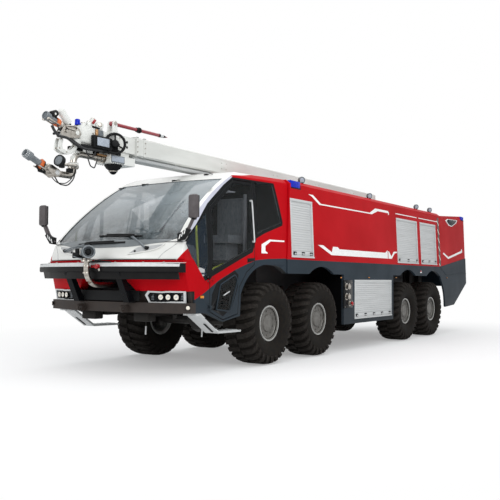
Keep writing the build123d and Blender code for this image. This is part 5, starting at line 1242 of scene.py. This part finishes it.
lines = bmesh.new()
for x, bend, radius, run in (
    (0.155, 0.04, 0.02, ((-3.65, 3.53), (-3.61, 3.47), (-3.53, 3.405), (-3.37, 3.405), (-3.22, 3.34),
                         (-3.05, 3.3), (-2.88, 3.31), (-2.7, 3.32))),
    (0.13, 0.04, 0.011, ((-3.55, 3.6), (-3.5, 3.5), (-3.3, 3.42), (-3.15, 3.36), (-3.0, 3.31))),
    (0.15, 0.03, 0.009, ((-3.0, 3.31), (-2.99, 3.23), (-2.92, 3.19), (-2.84, 3.22), (-2.82, 3.31))),
    (0.07, 0.025, 0.009, ((-2.9, 3.2), (-2.84, 3.08), (-2.76, 3.06), (-2.7, 3.2))),
):
    bent(lines, at_x(x, run), bend, radius)
for y, wide in ((-2.68, 0.056), (-2.6, 0.064), (-2.53, 0.07)):
    turned(lines, ((0.045, 0.0), (wide, 0.004), (wide, 0.03), (0.045, 0.034)), spot(0, y, 3.24), BACK, 1)
for x in (0.06, -0.06):
    rod(lines, spot(x, -2.7, 3.28), spot(x, -2.5, 3.28), 0.016, 2)
flange_bolts(lines, 3.084, 1)
run = at_x(0, ((-2.5, 3.24), (-3.035, 3.24), (-3.11, 3.165), (-3.11, 3.09)))
pipe(lines, rounded(run, 0.07, 6), CONDUIT_R, 1, sides=24)
piece("boom_head_conduit", lines, [hose_rubber, stainless, bronze], "boom_extension")

elbow = bmesh.new()
run = at_x(0, ((-3.11, 3.03), (-3.11, 2.965), (-3.17, 2.905), (-3.44, 2.905)))
pipe(elbow, rounded(run, 0.058, 6), CONDUIT_R, sides=24)
disc(elbow, spot(0, -3.11, 3.02), UP, 0.08, 0.038, 0)
flange_bolts(elbow, 3.008, 0)
for hand in (1, -1):
    disc(elbow, spot(hand * 0.07, -3.48, 2.905), LEFT * hand, 0.064, 0.006, 0, 0.002)
bent(elbow, at_x(0.055, ((-3.5, 2.85), (-3.42, 2.75), (-3.26, 2.745), (-3.15, 2.85), (-3.11, 3.0))), 0.05,
     0.009, 1)
bent(elbow, at_x(-0.05, ((-3.46, 2.85), (-3.36, 2.78), (-3.2, 2.79), (-3.08, 2.88), (-3.06, 3.0))), 0.05,
     0.007, 1)
box(elbow, (0.055, 0.11), (-3.3, -3.2), (2.93, 2.99), 1, edge=0.01)
bent(elbow, [spot(0.06, -3.12, 3.035), spot(0.15, -3.18, 3.035), spot(0.155, -3.42, 3.02)], 0.04, 0.022)
camera_place, view = spot(0.17, -3.46, 3.04), Vector((0.15, -1, 0.25))
shell = (
    (0, 0), (0.045, 0.004), (0.078, 0.03), (0.084, 0.06), (0.084, 0.09), (0.074, 0.1), (0.07, 0.09),
    (0, 0.088),
)
turned(elbow, shell, camera_place, view, 1)
turned(elbow, ((0, 0.086), (0.071, 0.088), (0.04, 0.1), (0, 0.104)), camera_place, view, 3)
box(elbow, (0.13, 0.19), (-3.5, -3.43), (2.965, 3.03), 1, edge=0.012)
disc(elbow, spot(0.175, -3.44, 3.01), LEFT, 0.02, 0.012, 0)
piece("head_monitor_elbow", elbow, [stainless, black_plastic, gloss_black, grey_plastic], "head_monitor")

jet = bmesh.new()
NOZZLE_RISE = radians(23.6)
aim = Vector((0, -cos(NOZZLE_RISE), sin(NOZZLE_RISE)))
rise = Vector((0, aim.z, -aim.y))
root = spot(0, -3.48, 2.905)
from_root = placer(root, LEFT, aim, rise)
for hand in (1, -1):
    half = [(-0.055, 0.03), (-0.03, 0.055), (0.12, 0.055), (0.17, 0.035)]
    cheek(jet, from_root(hand * 0.076), aim, rise, half, LEFT * hand * 0.014, 0.004)
    disc(jet, from_root(hand * 0.088), LEFT * hand, 0.036, 0.008, 3)
for skin, steps, profile in (
    (0, 32, ((0.0, 0.08), (0.076, 0.082), (0.08, 0.09), (0.08, 0.13), (0.06, 0.145), (0.05, 0.16),
             (0.05, 0.21), (0.0, 0.21))),
    (4, 32, ((0.0, 0.205), (0.066, 0.207), (0.07, 0.214), (0.07, 0.222), (0.0, 0.224))),
    (1, 32, ((0.0, 0.222), (0.058, 0.224), (0.066, 0.232), (0.066, 0.262), (0.058, 0.27), (0.0, 0.272))),
    (2, 40, ((0.0, 0.265), (0.046, 0.27), (0.044, 0.3), (0.044, 0.4), (0.052, 0.415), (0.062, 0.43),
             (0.062, 0.455), (0.056, 0.46), (0.062, 0.465), (0.062, 0.49), (0.056, 0.495), (0.062, 0.5),
             (0.062, 0.528), (0.054, 0.54), (0.046, 0.53), (0.038, 0.46), (0.0, 0.45))),
):
    turned(jet, profile, root, aim, skin, steps)
for turn, out in enumerate(around(14, LEFT, rise)):
    bolt(jet, root + aim * 0.5 + out * 0.06, root + aim * 0.545 + out * 0.052, 0.006, 3)
    if turn % 2:
        grip = root + aim * 0.225 + out * 0.066
        rod(jet, grip, grip + aim * 0.037, 0.009, 1, sides=8, edge=0.002)
for x in (-0.055, 0.055):
    rod(jet, from_root(x, 0.13, -0.04), from_root(x, 0.3, -0.06), 0.01)
rod(jet, from_root(0, 0.1, -0.06), from_root(0, 0.24, -0.1), 0.02, 4, edge=0.005)
rod(jet, from_root(0, 0.22, -0.1), from_root(0, 0.3, -0.06), 0.014, 4, edge=0.004)
piece("head_nozzle_barrel", jet, [stainless, orange_plastic, grey_plastic, anodised, black_plastic],
      "head_nozzle", ["head_nozzle"])

spear = bmesh.new()
for start, end, skin, tip in ((-2.44, -1.4, 0, None), (-1.4, -1.31, 2, None), (-1.31, -1.19, 1, 0.0015)):
    edge = 0 if skin else 0.003
    rod(spear, spot(0.14, start, 3.77), spot(0.14, end, 3.77), 0.0275, skin, tip, 24, edge)
for y, wide in ((-2.43, 0.038), (-1.93, 0.036), (-1.88, 0.045), (-1.4, 0.03)):
    rod(spear, spot(0.14, y - 0.02, 3.77), spot(0.14, y + 0.02, 3.77), wide, 1, sides=20, edge=0.004)
piece("lance_shaft", spear, [lance_enamel, black_plastic, anodised], "lance")

collar = bmesh.new()
for y in (-1.95, -1.78):
    box(collar, (0.142, 0.158), (y, y + 0.05), (3.342, 3.658), edge=0.005)
for y in (-1.925, -1.75):
    for z in (3.42, 3.5, 3.58):
        bolt(collar, spot(0.15, y, z), spot(0.168, y, z), 0.011, 1)
for y in (0.4, 2.2, 4.0, 5.8):
    box(collar, (0.149, 0.153), span(y, 0.09), (3.43, 3.57), edge=0.001)
    for bolt_y in span(y, 0.07):
        for z in (3.45, 3.55):
            bolt(collar, spot(0.152, bolt_y, z), spot(0.16, bolt_y, z), 0.008, 1)
both_sides(collar)
for y in (-1.95, -1.78):
    for z in ((3.64, 3.658), (3.342, 3.36)):
        box(collar, (-0.158, 0.158), (y, y + 0.05), z, edge=0.005)
piece("boom_collar", collar, [boom_enamel, stainless], "boom")


# Front monitor, mirrors, doors and the cab's inside

yaw = radians(50)
muzzle, across = Vector((sin(yaw), -cos(yaw), 0)), Vector((cos(yaw), sin(yaw), 0))
pivot = spot(0.06, -2.88, 1.805)
from_pivot = placer(pivot, across, muzzle, UP)
body = bmesh.new()
disc(body, spot(0.06, -2.88, 1.705), UP, 0.066, 0.014, 1)
rod(body, spot(0.06, -2.88, 1.71), spot(0.06, -2.88, 1.8), 0.056, sides=24, edge=0.01)
rod(body, spot(0.06, -2.88, 1.8), from_pivot(0, -0.1, 0.01), 0.052, sides=24, edge=0.012)
rod(body, from_pivot(-0.074), from_pivot(0.074), 0.062, sides=28, edge=0.012)
for start, end, radius, skin, edge in (
    ((-0.02, -0.11, 0), (-0.02, -0.11, 0.05), 0.036, 0, 0.01),
    ((0, -0.11, -0.02), (0.09, -0.11, -0.02), 0.034, 2, 0.01),
    ((-0.103, -0.05, -0.04), (-0.2, -0.05, -0.04), 0.044, 3, 0.008),
    ((-0.13, -0.05, -0.03), (-0.13, -0.05, 0.06), 0.032, 3, 0.008),
):
    rod(body, from_pivot(*start), from_pivot(*end), radius, skin, sides=20, edge=edge)
box(body, (-0.09, -0.03), (-2.9, -2.83), (1.72, 1.78), 3, edge=0.012)
cable = ((-0.16, -0.08, -0.04), (-0.2, -0.02, -0.05), (-0.13, 0.03, -0.08), (0, 0, -0.09))
bent(body, [from_pivot(*steps) for steps in cable], 0.03, 0.007, 2)
piece("monitor_body", body, [chassis_coat, stainless, grey_plastic, black_plastic], "monitor_swivel",
      ["monitor_swivel"])

barrel = bmesh.new()
for hand in (1, -1):
    half = [(-0.045, 0.03), (-0.02, 0.045), (0.1, 0.045), (0.15, 0.03)]
    cheek(barrel, from_pivot(hand * 0.076), muzzle, UP, half, across * hand * 0.015, 0.003)
    disc(barrel, from_pivot(hand * 0.09), across * hand, 0.03, 0.008, 2)
profile = (
    (0, 0.088), (0.045, 0.09), (0.084, 0.125), (0.086, 0.14), (0.076, 0.15), (0.07, 0.17), (0.07, 0.26),
    (0.078, 0.275), (0.078, 0.29), (0.07, 0.295), (0.078, 0.3), (0.078, 0.315), (0.07, 0.32),
    (0.078, 0.325), (0.094, 0.36), (0.095, 0.42), (0.086, 0.43), (0.074, 0.428), (0.06, 0.34), (0.0, 0.33),
)
turned(barrel, profile, pivot, muzzle, 0, 40)
turned(barrel, ((0.07, 0.385), (0.0965, 0.388), (0.0965, 0.412), (0.07, 0.415)), pivot, muzzle, 1, 40)
disc(barrel, from_pivot(0, 0.32), muzzle, 0.045, 0.05, 1, 0.012)
for out in around(12, across, UP):
    bolt(barrel, pivot + muzzle * 0.175 + out * 0.07, pivot + muzzle * 0.255 + out * 0.07, 0.006)
piece("monitor_barrel", barrel, [grey_plastic, black_plastic, stainless], "monitor_nozzle",
      ["monitor_nozzle"])

feed = bmesh.new()
run = [spot(0.06, -2.185, 1.33), spot(0.06, -2.75, 1.33), spot(0.06, -2.88, 1.46), spot(0.06, -2.88, 1.69)]
pipe(feed, rounded(run, 0.1, 7), 0.041, sides=24)
disc(feed, spot(0.06, -2.88, 1.672), UP, 0.08, 0.026, 0)
for z in (1.5, 1.6):
    disc(feed, spot(0.06, -2.88, z), UP, 0.052, 0.022, 0)
box(feed, (0.09, 0.25), (-2.83, -2.795), (1.585, 1.625), 1, edge=0.01)
rod(feed, spot(0.22, -2.85, 1.605), spot(0.22, -2.795, 1.605), 0.034, 1, sides=24)
rod(feed, spot(0.25, -2.82, 1.57), spot(0.27, -2.83, 1.54), 0.014)
for x in (-0.05, 0.16):
    run = [
        spot(x, -2.79, 1.667), spot(x + 0.05, -2.86, 1.69), spot(x + 0.16, -2.8, 1.675),
        spot(x + 0.24, -2.72, 1.668),
    ]
    bent(feed, run, 0.03, 0.011, 2)
box(feed, (-0.12, 0.3), (-2.76, -2.66), (1.66, 1.685), 2, edge=0.006)
piece("monitor_feed_pipe", feed, [stainless, red_lens, black_plastic],
      replaces=["monitor_pipe"])

mirror = bmesh.new()
box(mirror, (1.498, 1.66), (-2.34, -2.258), (2.288, 2.634), 4, edge=0.039)
box(mirror, (1.508, 1.652), (-2.27, -2.252), (2.305, 2.62), 1, edge=0.008)
for z in ((2.42, 2.605), (2.318, 2.405)):
    box(mirror, (1.515, 1.645), (-2.258, -2.246), z, 2, edge=0.004)
arm = [spot(1.3, -2.285, 2.015), spot(1.43, -2.285, 2.06), spot(1.578, -2.285, 2.31)]
pipe(mirror, rounded(arm, 0.05, 6), 0.025, 4, sides=16)
pipe(mirror, rounded([p + Vector((0.0, 0.02, 0.055)) for p in arm], 0.05, 6), 0.014, 4, sides=10)
block = [spot(x, -2.318, z) for x, z in ((1.3, 1.975), (1.4, 1.99), (1.515, 2.13), (1.47, 2.16),
                                         (1.38, 2.1), (1.3, 2.09))]
plate(mirror, block, BACK * 0.066, edge=0.006)
for x, z in ((1.345, 2.03), (1.39, 2.06375), (1.435, 2.0975)):
    stripe = [spot(x + dx, -2.3195, z + dz) for dx, dz in ((-0.018, -0.03), (-0.004, -0.03), (0.02, 0.04),
                                                           (0.006, 0.04))]
    plate(mirror, stripe, BACK * 0.069, 3)
box(mirror, (1.55, 1.606), (-2.32, -2.25), (2.27, 2.33), edge=0.012)
both_sides(mirror)
piece("mirror_heads", mirror, [black_plastic, gloss_black, mirror_glass, white_tape, mirror_grey],
      replaces=["mirrors"])

for side in ("left", "right"):
    trimmed = bmesh.new()
    rail = [(-0.452, 2.72), (-0.458, 2.65), (-0.509, 2.1), (-0.515, 2.04)]
    pipe(trimmed, [on_cab(y, z, 0.035) for y, z in rail], 0.013, sides=12)
    for end in (rail[0], rail[-1]):
        rod(trimmed, on_cab(*end, -0.004), on_cab(*end, 0.037), 0.017)
    pull = [on_cab(y, z, 0.002) for y, z in ((-0.72, 1.69), (-0.5, 1.735), (-0.49, 1.775), (-0.71, 1.765))]
    plate(trimmed, pull, TAPE, 1)
    pipe(trimmed, [on_cab(-0.69, 1.722, 0.01), on_cab(-0.53, 1.748, 0.01)], 0.009, 1, sides=8)
    sill = [on_cab(y, z, 0.001) for y, z in ((-1.53, 0.97), (-1.43, 1.345), (-1.05, 1.5), (-0.985, 1.41),
                                             (-1.18, 0.93))]
    pipe(trimmed, rounded(sill + sill[:1], 0.03, 3), 0.012, 2, sides=8)
    catch_x = cab_x(-1.2, 1.36) + 0.02
    rod(trimmed, spot(catch_x, -1.38, 1.18), spot(catch_x, -1.22, 1.24), 0.009)
    if side == "right":
        bmesh.ops.scale(trimmed, vec=(-1, 1, 1), verts=trimmed.verts[:])
    piece(f"door_fittings_{side}", trimmed, [anodised, black_plastic, slate_enamel], f"door_{side}")

cabin = bmesh.new()
bent(cabin, [spot(1.22, -1.86, 2.34), spot(1.27, -1.85, 2.26), spot(1.31, -1.84, 1.66),
             spot(1.28, -1.8, 1.6)], 0.04, 0.018)
for x, y, z, skin, edge in (
    ((0.84, 1.16), (-1.08, -0.66), (2.845, 2.86), 4, 0.006),
    ((1.13, 1.17), (-0.4, -0.33), (1.45, 2.85), 5, 0.012),
    ((1.13, 1.17), (-1.42, -1.36), (1.9, 2.6), 1, 0.012),
    ((0.72, 1.1), (-1.28, -0.98), (1.5, 1.53), 4, 0.008),
):
    box(cabin, x, y, z, skin, edge)
bent(cabin, at_x(1.08, ((-1.2, 1.52), (-1.15, 1.6), (-0.62, 1.74), (-0.5, 1.7))), 0.03, 0.012)
both_sides(cabin)
rod(cabin, spot(0.0, -1.66, 2.12), spot(0.0, -1.54, 2.0), 0.03, 2)
wheel, aim = spot(0.0, -1.6, 2.13), Vector((0, 0.45, 0.9)).normalized()
hoop(cabin, wheel, aim, 0.22, 0.016, 2, 10)
for out in around(3, LEFT, aim.cross(LEFT), pi / 2):
    rod(cabin, wheel, wheel + out * 0.215, 0.014, 2, sides=8)
disc(cabin, wheel - aim * 0.02, aim, 0.06, 0.04, 2, 0.01)
box(cabin, (0.62, 0.9), (-2.03, -1.99), (2.05, 2.24), 2, edge=0.01)
box(cabin, (0.635, 0.885), (-1.994, -1.986), (2.065, 2.225), 3, edge=0.002)
rod(cabin, spot(0.76, -2.01, 2.06), spot(0.78, -2.03, 1.96), 0.014, 2)
piece("cab_fittings", cabin, [rail_yellow, grey_plastic, black_plastic, gloss_black, pale_trim, grey_trim])


# Roof, rear, underside and steps

def roof_z(y):
    """Height of the rear housing's top."""
    return between(((8.5, 3.006), (9.5, 3.203), (10.4, 3.26), (10.55, 3.265)), y)[0]


walk = bmesh.new()
for x0, x1 in ((0.5, 1.14), (-1.14, -0.5)):
    for start, end in ((1.3, 2.95), (2.97, 4.6), (4.62, 6.12), (7.32, 8.1)):
        box(walk, (x0, x1), (start, end), (2.998, 3.006), edge=0.002)
        for y in (start + 0.05, end - 0.05):
            for x in (x0 + 0.05, x1 - 0.05):
                disc(walk, spot(x, y, 3.005), UP, 0.012, 0.004, 1, 0.001)
for y in (2.2, 4.2):
    disc(walk, spot(0, y, 2.998), UP, 0.33, 0.05, 2, 0.012)
    disc(walk, spot(0, y, 3.04), UP, 0.3, 0.028, 3, 0.014)
    for out in around(6, LEFT, BACK):
        foot = spot(0, y, 3.046) + out * 0.31
        rod(walk, foot, foot + UP * 0.024, 0.018, 1, sides=6, edge=0.003)
    bent(walk, [spot(-0.09, y, 3.06), spot(-0.09, y, 3.1), spot(0.09, y, 3.1), spot(0.09, y, 3.06)], 0.025,
         0.009, 1)
for y in (1.5, 5.3):
    rod(walk, spot(0.28, y, 2.998), spot(0.28, y, 3.07), 0.045, 2, sides=20, edge=0.006)
    disc(walk, spot(0.28, y, 3.065), UP, 0.06, 0.02, 4, 0.006)
piece("roof_walkway", walk, [checker_plate, stainless, anodised, red_enamel, black_plastic])

hatch = bmesh.new()
box(hatch, (-0.32, 0.32), (-0.42, 0.22), (3.196, 3.222), edge=0.01)
box(hatch, (-0.28, 0.28), (-0.38, 0.18), (3.218, 3.23), 1, edge=0.004)
for x in (-0.2, 0.2):
    box(hatch, span(x, 0.03), (0.2, 0.25), (3.2, 3.226), 2, edge=0.005)
for x in (0.75, -0.75):
    disc(hatch, spot(x, 0.2, 3.196), UP, 0.035, 0.02, 2)
    rod(hatch, spot(x, 0.2, 3.21), spot(x, 0.24, 3.3), 0.006, 2, tip=0.003, sides=8, edge=0)
for x, y, z in ((-1.09, -0.99, 3.01), (-0.54, -1.0, 3.045), (0.12, -0.98, 3.07), (0.62, -0.75, 3.165)):
    box(hatch, span(x, 0.035), (y - 0.02, y + 0.03), (z - 0.012, z + 0.018), 2, edge=0.006)
    bent(hatch, [spot(x + 0.03, y, z), spot(x + 0.08, y - 0.01, z + 0.015),
                 spot(x + 0.13, y + 0.01, z + 0.005)], 0.02, 0.006, 2, sides=6)
piece("cab_roof_fittings", hatch, [white_enamel, side_glass, black_plastic])

louvres = bmesh.new()
for x0, x1 in ((-1.15, -0.1), (0.1, 1.15)):
    for row in range(13):
        y = 9.56 + row * 0.06
        low, high = (y, roof_z(y) - 0.002), (y + 0.034, roof_z(y + 0.034) + 0.012)
        plate(louvres, [spot(x0, *low), spot(x1, *low), spot(x1, *high), spot(x0, *high)], UP * 0.005)
    corners = ((x0, 9.53), (x1, 9.53), (x1, 10.36), (x0, 10.36), (x0, 9.53))
    pipe(louvres, [spot(x, y, roof_z(y) + 0.002) for x, y in corners], 0.012, 1, sides=8)
for x in (-0.9, 0.9):
    for y in (8.75, 9.25):
        disc(louvres, spot(x, y, roof_z(y) - 0.004), (0, -0.2, 1), 0.05, 0.014, 1)
piece("engine_roof_louvres", louvres, [black_plastic, red_enamel])

REAR_Y = 10.549
rear = bmesh.new()
box(rear, (0.02, 1.02), (REAR_Y - 0.004, REAR_Y + 0.01), (2.12, 3.02), edge=0.006)
box(rear, (0.08, 0.96), (REAR_Y + 0.004, REAR_Y + 0.013), (2.2, 2.94), 1, edge=0.003)
for row in range(17):
    z = 2.225 + row * 0.042
    low, high = (REAR_Y + 0.01, z), (REAR_Y + 0.026, z - 0.016)
    plate(rear, [spot(0.09, *low), spot(0.95, *low), spot(0.95, *high), spot(0.09, *high)], UP * 0.006, 1)
for z in (2.25, 2.57, 2.9):
    rod(rear, spot(1.02, REAR_Y + 0.01, z - 0.04), spot(1.02, REAR_Y + 0.01, z + 0.04), 0.012, 2)
box(rear, span(0.05, 0.018), (REAR_Y + 0.008, REAR_Y + 0.03), (2.5, 2.64), 3, edge=0.006)
box(rear, (1.1, 1.42), (REAR_Y - 0.004, REAR_Y + 0.006), (2.12, 3.02), edge=0.005)
for x, z, skin in ((1.2, 1.62, 4), (1.2, 1.49, 5), (1.34, 1.62, 5), (1.34, 1.49, 6)):
    base = spot(x, 10.53 + (z - 1.5) * 0.1, z)
    disc(rear, base, BACK, 0.062, 0.03, 3, 0.008)
    disc(rear, base + BACK * 0.022, BACK, 0.05, 0.018, skin, 0.01)
box(rear, (0.72, 1.08), (10.53, 10.557), (1.5, 1.56), 5, edge=0.006)
for z in (2.02, 3.12):
    box(rear, (1.2, 1.42), (REAR_Y, REAR_Y + 0.004), span(z, 0.025), 7, edge=0.001)
for x in (0.28, 0.62):
    disc(rear, spot(x, 10.54, 1.55), BACK, 0.045, 0.03, 2, 0.006)
    disc(rear, spot(x, 10.565, 1.55), BACK, 0.052, 0.014, 3, 0.005)
box(rear, (1.35, 1.46), (10.5, 10.66), (1.58, 1.655), 1, edge=0.008)
pipe(rear, at_x(1.36, ((10.15, 1.06), (10.28, 1.1), (10.35, 1.13))), 0.026, 1)
both_sides(rear)
box(rear, (-0.12, 0.12), (10.53, 10.562), (1.49, 1.61), 3, edge=0.008)
for row in range(9):  # ladder up the left corner
    box(rear, (1.13, 1.39), (REAR_Y, REAR_Y + 0.03), span(2.12 + row * 0.11, 0.012), 2, edge=0.005)
for x in (1.13, 1.39):
    pipe(rear, [spot(x, REAR_Y + 0.018, 2.07), spot(x, REAR_Y + 0.018, 3.06)], 0.013, 2)
piece("rear_face_fittings", rear, [red_enamel, black_plastic, anodised, gloss_black, amber_lens, red_lens,
                                   clear_lens, white_tape])

under = bmesh.new()
SHAFT_Z = 0.78
for y in AXLES_Y:
    rod(under, spot(0.6, y + 0.13, 0.78), spot(0.52, y + 0.13, 1.3), 0.034, 2, sides=16, edge=0.006)
    rod(under, spot(0.58, y + 0.13, 0.92), spot(0.545, y + 0.13, 1.16), 0.044, sides=16, edge=0.006)
    for z in (0.848, 1.218):
        disc(under, spot(0.6, y - 0.14, z), UP, 0.1, 0.024, 1)
box(under, (0.4, 0.7), (-2.24, -2.06), (0.79, 0.935), edge=0.02)
both_sides(under)
for y in AXLES_Y:
    disc(under, spot(0, y - 0.19, 0.76), BACK, 0.2, 0.06, 1, 0.03)
    for x in (0.6, -0.6):
        turns = [turn * pi / 5 for turn in range(51)]
        coil = [spot(x + 0.075 * cos(a), y - 0.14 + 0.075 * sin(a), 0.86 + a * 0.0115) for a in turns]
        pipe(under, coil, 0.013, 2, sides=6)
for start, end in ((0.22, 1.5), (1.95, 2.85), (4.9, 5.85), (6.3, 7.58), (8.05, 8.75)):
    rod(under, spot(0, start, SHAFT_Z), spot(0, end, SHAFT_Z), 0.055, sides=20, edge=0.006)
    for y in (start, end):
        disc(under, spot(0, y - 0.02, SHAFT_Z), BACK, 0.085, 0.04, 1)
        rod(under, spot(-0.07, y, SHAFT_Z), spot(0.07, y, SHAFT_Z), 0.026, 1)
box(under, (-0.24, 0.24), (2.85, 3.35), (0.6, 1.0), 1, edge=0.05)
box(under, (-0.3, 0.3), (4.3, 4.9), (0.6, 1.02), 1, edge=0.06)
rod(under, spot(0, 3.35, SHAFT_Z), spot(0, 4.3, SHAFT_Z), 0.05, sides=20)
for x, y, z in ((0.3, -1.84, 0.69), (0.9, -1.19, 0.64)):
    rod(under, spot(x, y, 0.95), spot(x, y, z), 0.009, sides=8, edge=0)
    rod(under, spot(x, y, z), spot(x - 0.006, y, z - 0.13), 0.012, 3, sides=8, edge=0.002)
piece("drive_line_and_springs", under, [chassis_coat, cast_iron, bumper_plastic, anodised])

step = bmesh.new()
run, lift = Vector((0, 0.45, -0.284)).normalized(), Vector((0, 0.284, 0.45)).normalized()
for x in (1.235, 1.315, 1.395):
    on_slope = placer(spot(x, -1.93, 0.926) + lift * 0.001, LEFT, run)
    for lane in (-0.016, 0.016):
        bolt(step, on_slope(lane, 0.12), on_slope(lane, 0.5), 0.004, 1)
    strip = [on_slope(*place) for place in ((-0.014, 0.12), (-0.014, 0.5), (0.014, 0.5), (0.014, 0.12))]
    plate(step, strip, lift * 0.003)
for row in range(5):
    box(step, (1.21, 1.42), span(-1.42 + row * 0.11, 0.012), (0.632, 0.642), 1, edge=0.003)
on_slope = placer(spot(1.36, -1.945, 0.892) - lift * 0.001, LEFT, run)
slot = ((-0.022, 0.25), (-0.022, 0.48), (0.0, 0.5), (0.022, 0.48), (0.022, 0.25), (0.0, 0.23))
plate(step, [on_slope(*place) for place in slot], lift * -0.003)
pipe(step, at_x(1.443, ((-2.0, 0.91), (-1.94, 0.91), (-1.485, 0.622), (-0.9, 0.617))), 0.006, 1, sides=6)
hole = ((-1.84, 0.857), (-1.8, 0.845), (-1.58, 0.708), (-1.56, 0.682), (-1.6, 0.69), (-1.82, 0.83))
plate(step, at_x(1.44, hole), LEFT * 0.003)
both_sides(step)
piece("step_treads", step, [black_plastic, anodised])


# CAD nodes that keep their own shape

CAD_FINISHES = {"front_hood": white_enamel, "front_fascia": red_enamel, "upper_body": red_enamel,
                "rear_housing": red_enamel, "body_skirts": skirt_enamel, "rear_tail": skirt_enamel,
                "front_bumper": bumper_plastic, "bumper_bar": gloss_black, "axle_beams": cast_iron,
                "chassis_frame": chassis_coat, "cross_members": chassis_coat, "engine_block": cast_iron,
                "tank_base": tank_plastic, "roller_shutters": anodised, "entry_steps": anodised,
                "headlights": gloss_black, "hose_outlets": stainless, "beacons": blue_lens,
                "turntable": boom_enamel, "lift_barrel": boom_enamel, "lift_rod": chrome,
                "boom_outer": boom_enamel, "boom_fittings": anodised, "boom_inner": boom_enamel,
                "boom_head": boom_enamel, "piercing_lance": lance_enamel, "head_monitor": stainless,
                "head_nozzle": stainless, "monitor_pipe": stainless, "monitor_swivel": chassis_coat,
                "monitor_nozzle": grey_plastic, "mirrors": black_plastic, "roof_lamps": grey_plastic,
                "cab_interior": seat_cloth}
for node_name, held in NODES.items():
    stem = "knuckle" if node_name.startswith("knuckle") else node_name
    finish = CAD_FINISHES.get(stem, side_glass if stem.startswith("door_glass") else cast_iron)
    held.data.materials.clear()
    held.data.materials.append(finish)

bpy.context.scene.view_settings.view_transform = "Standard"
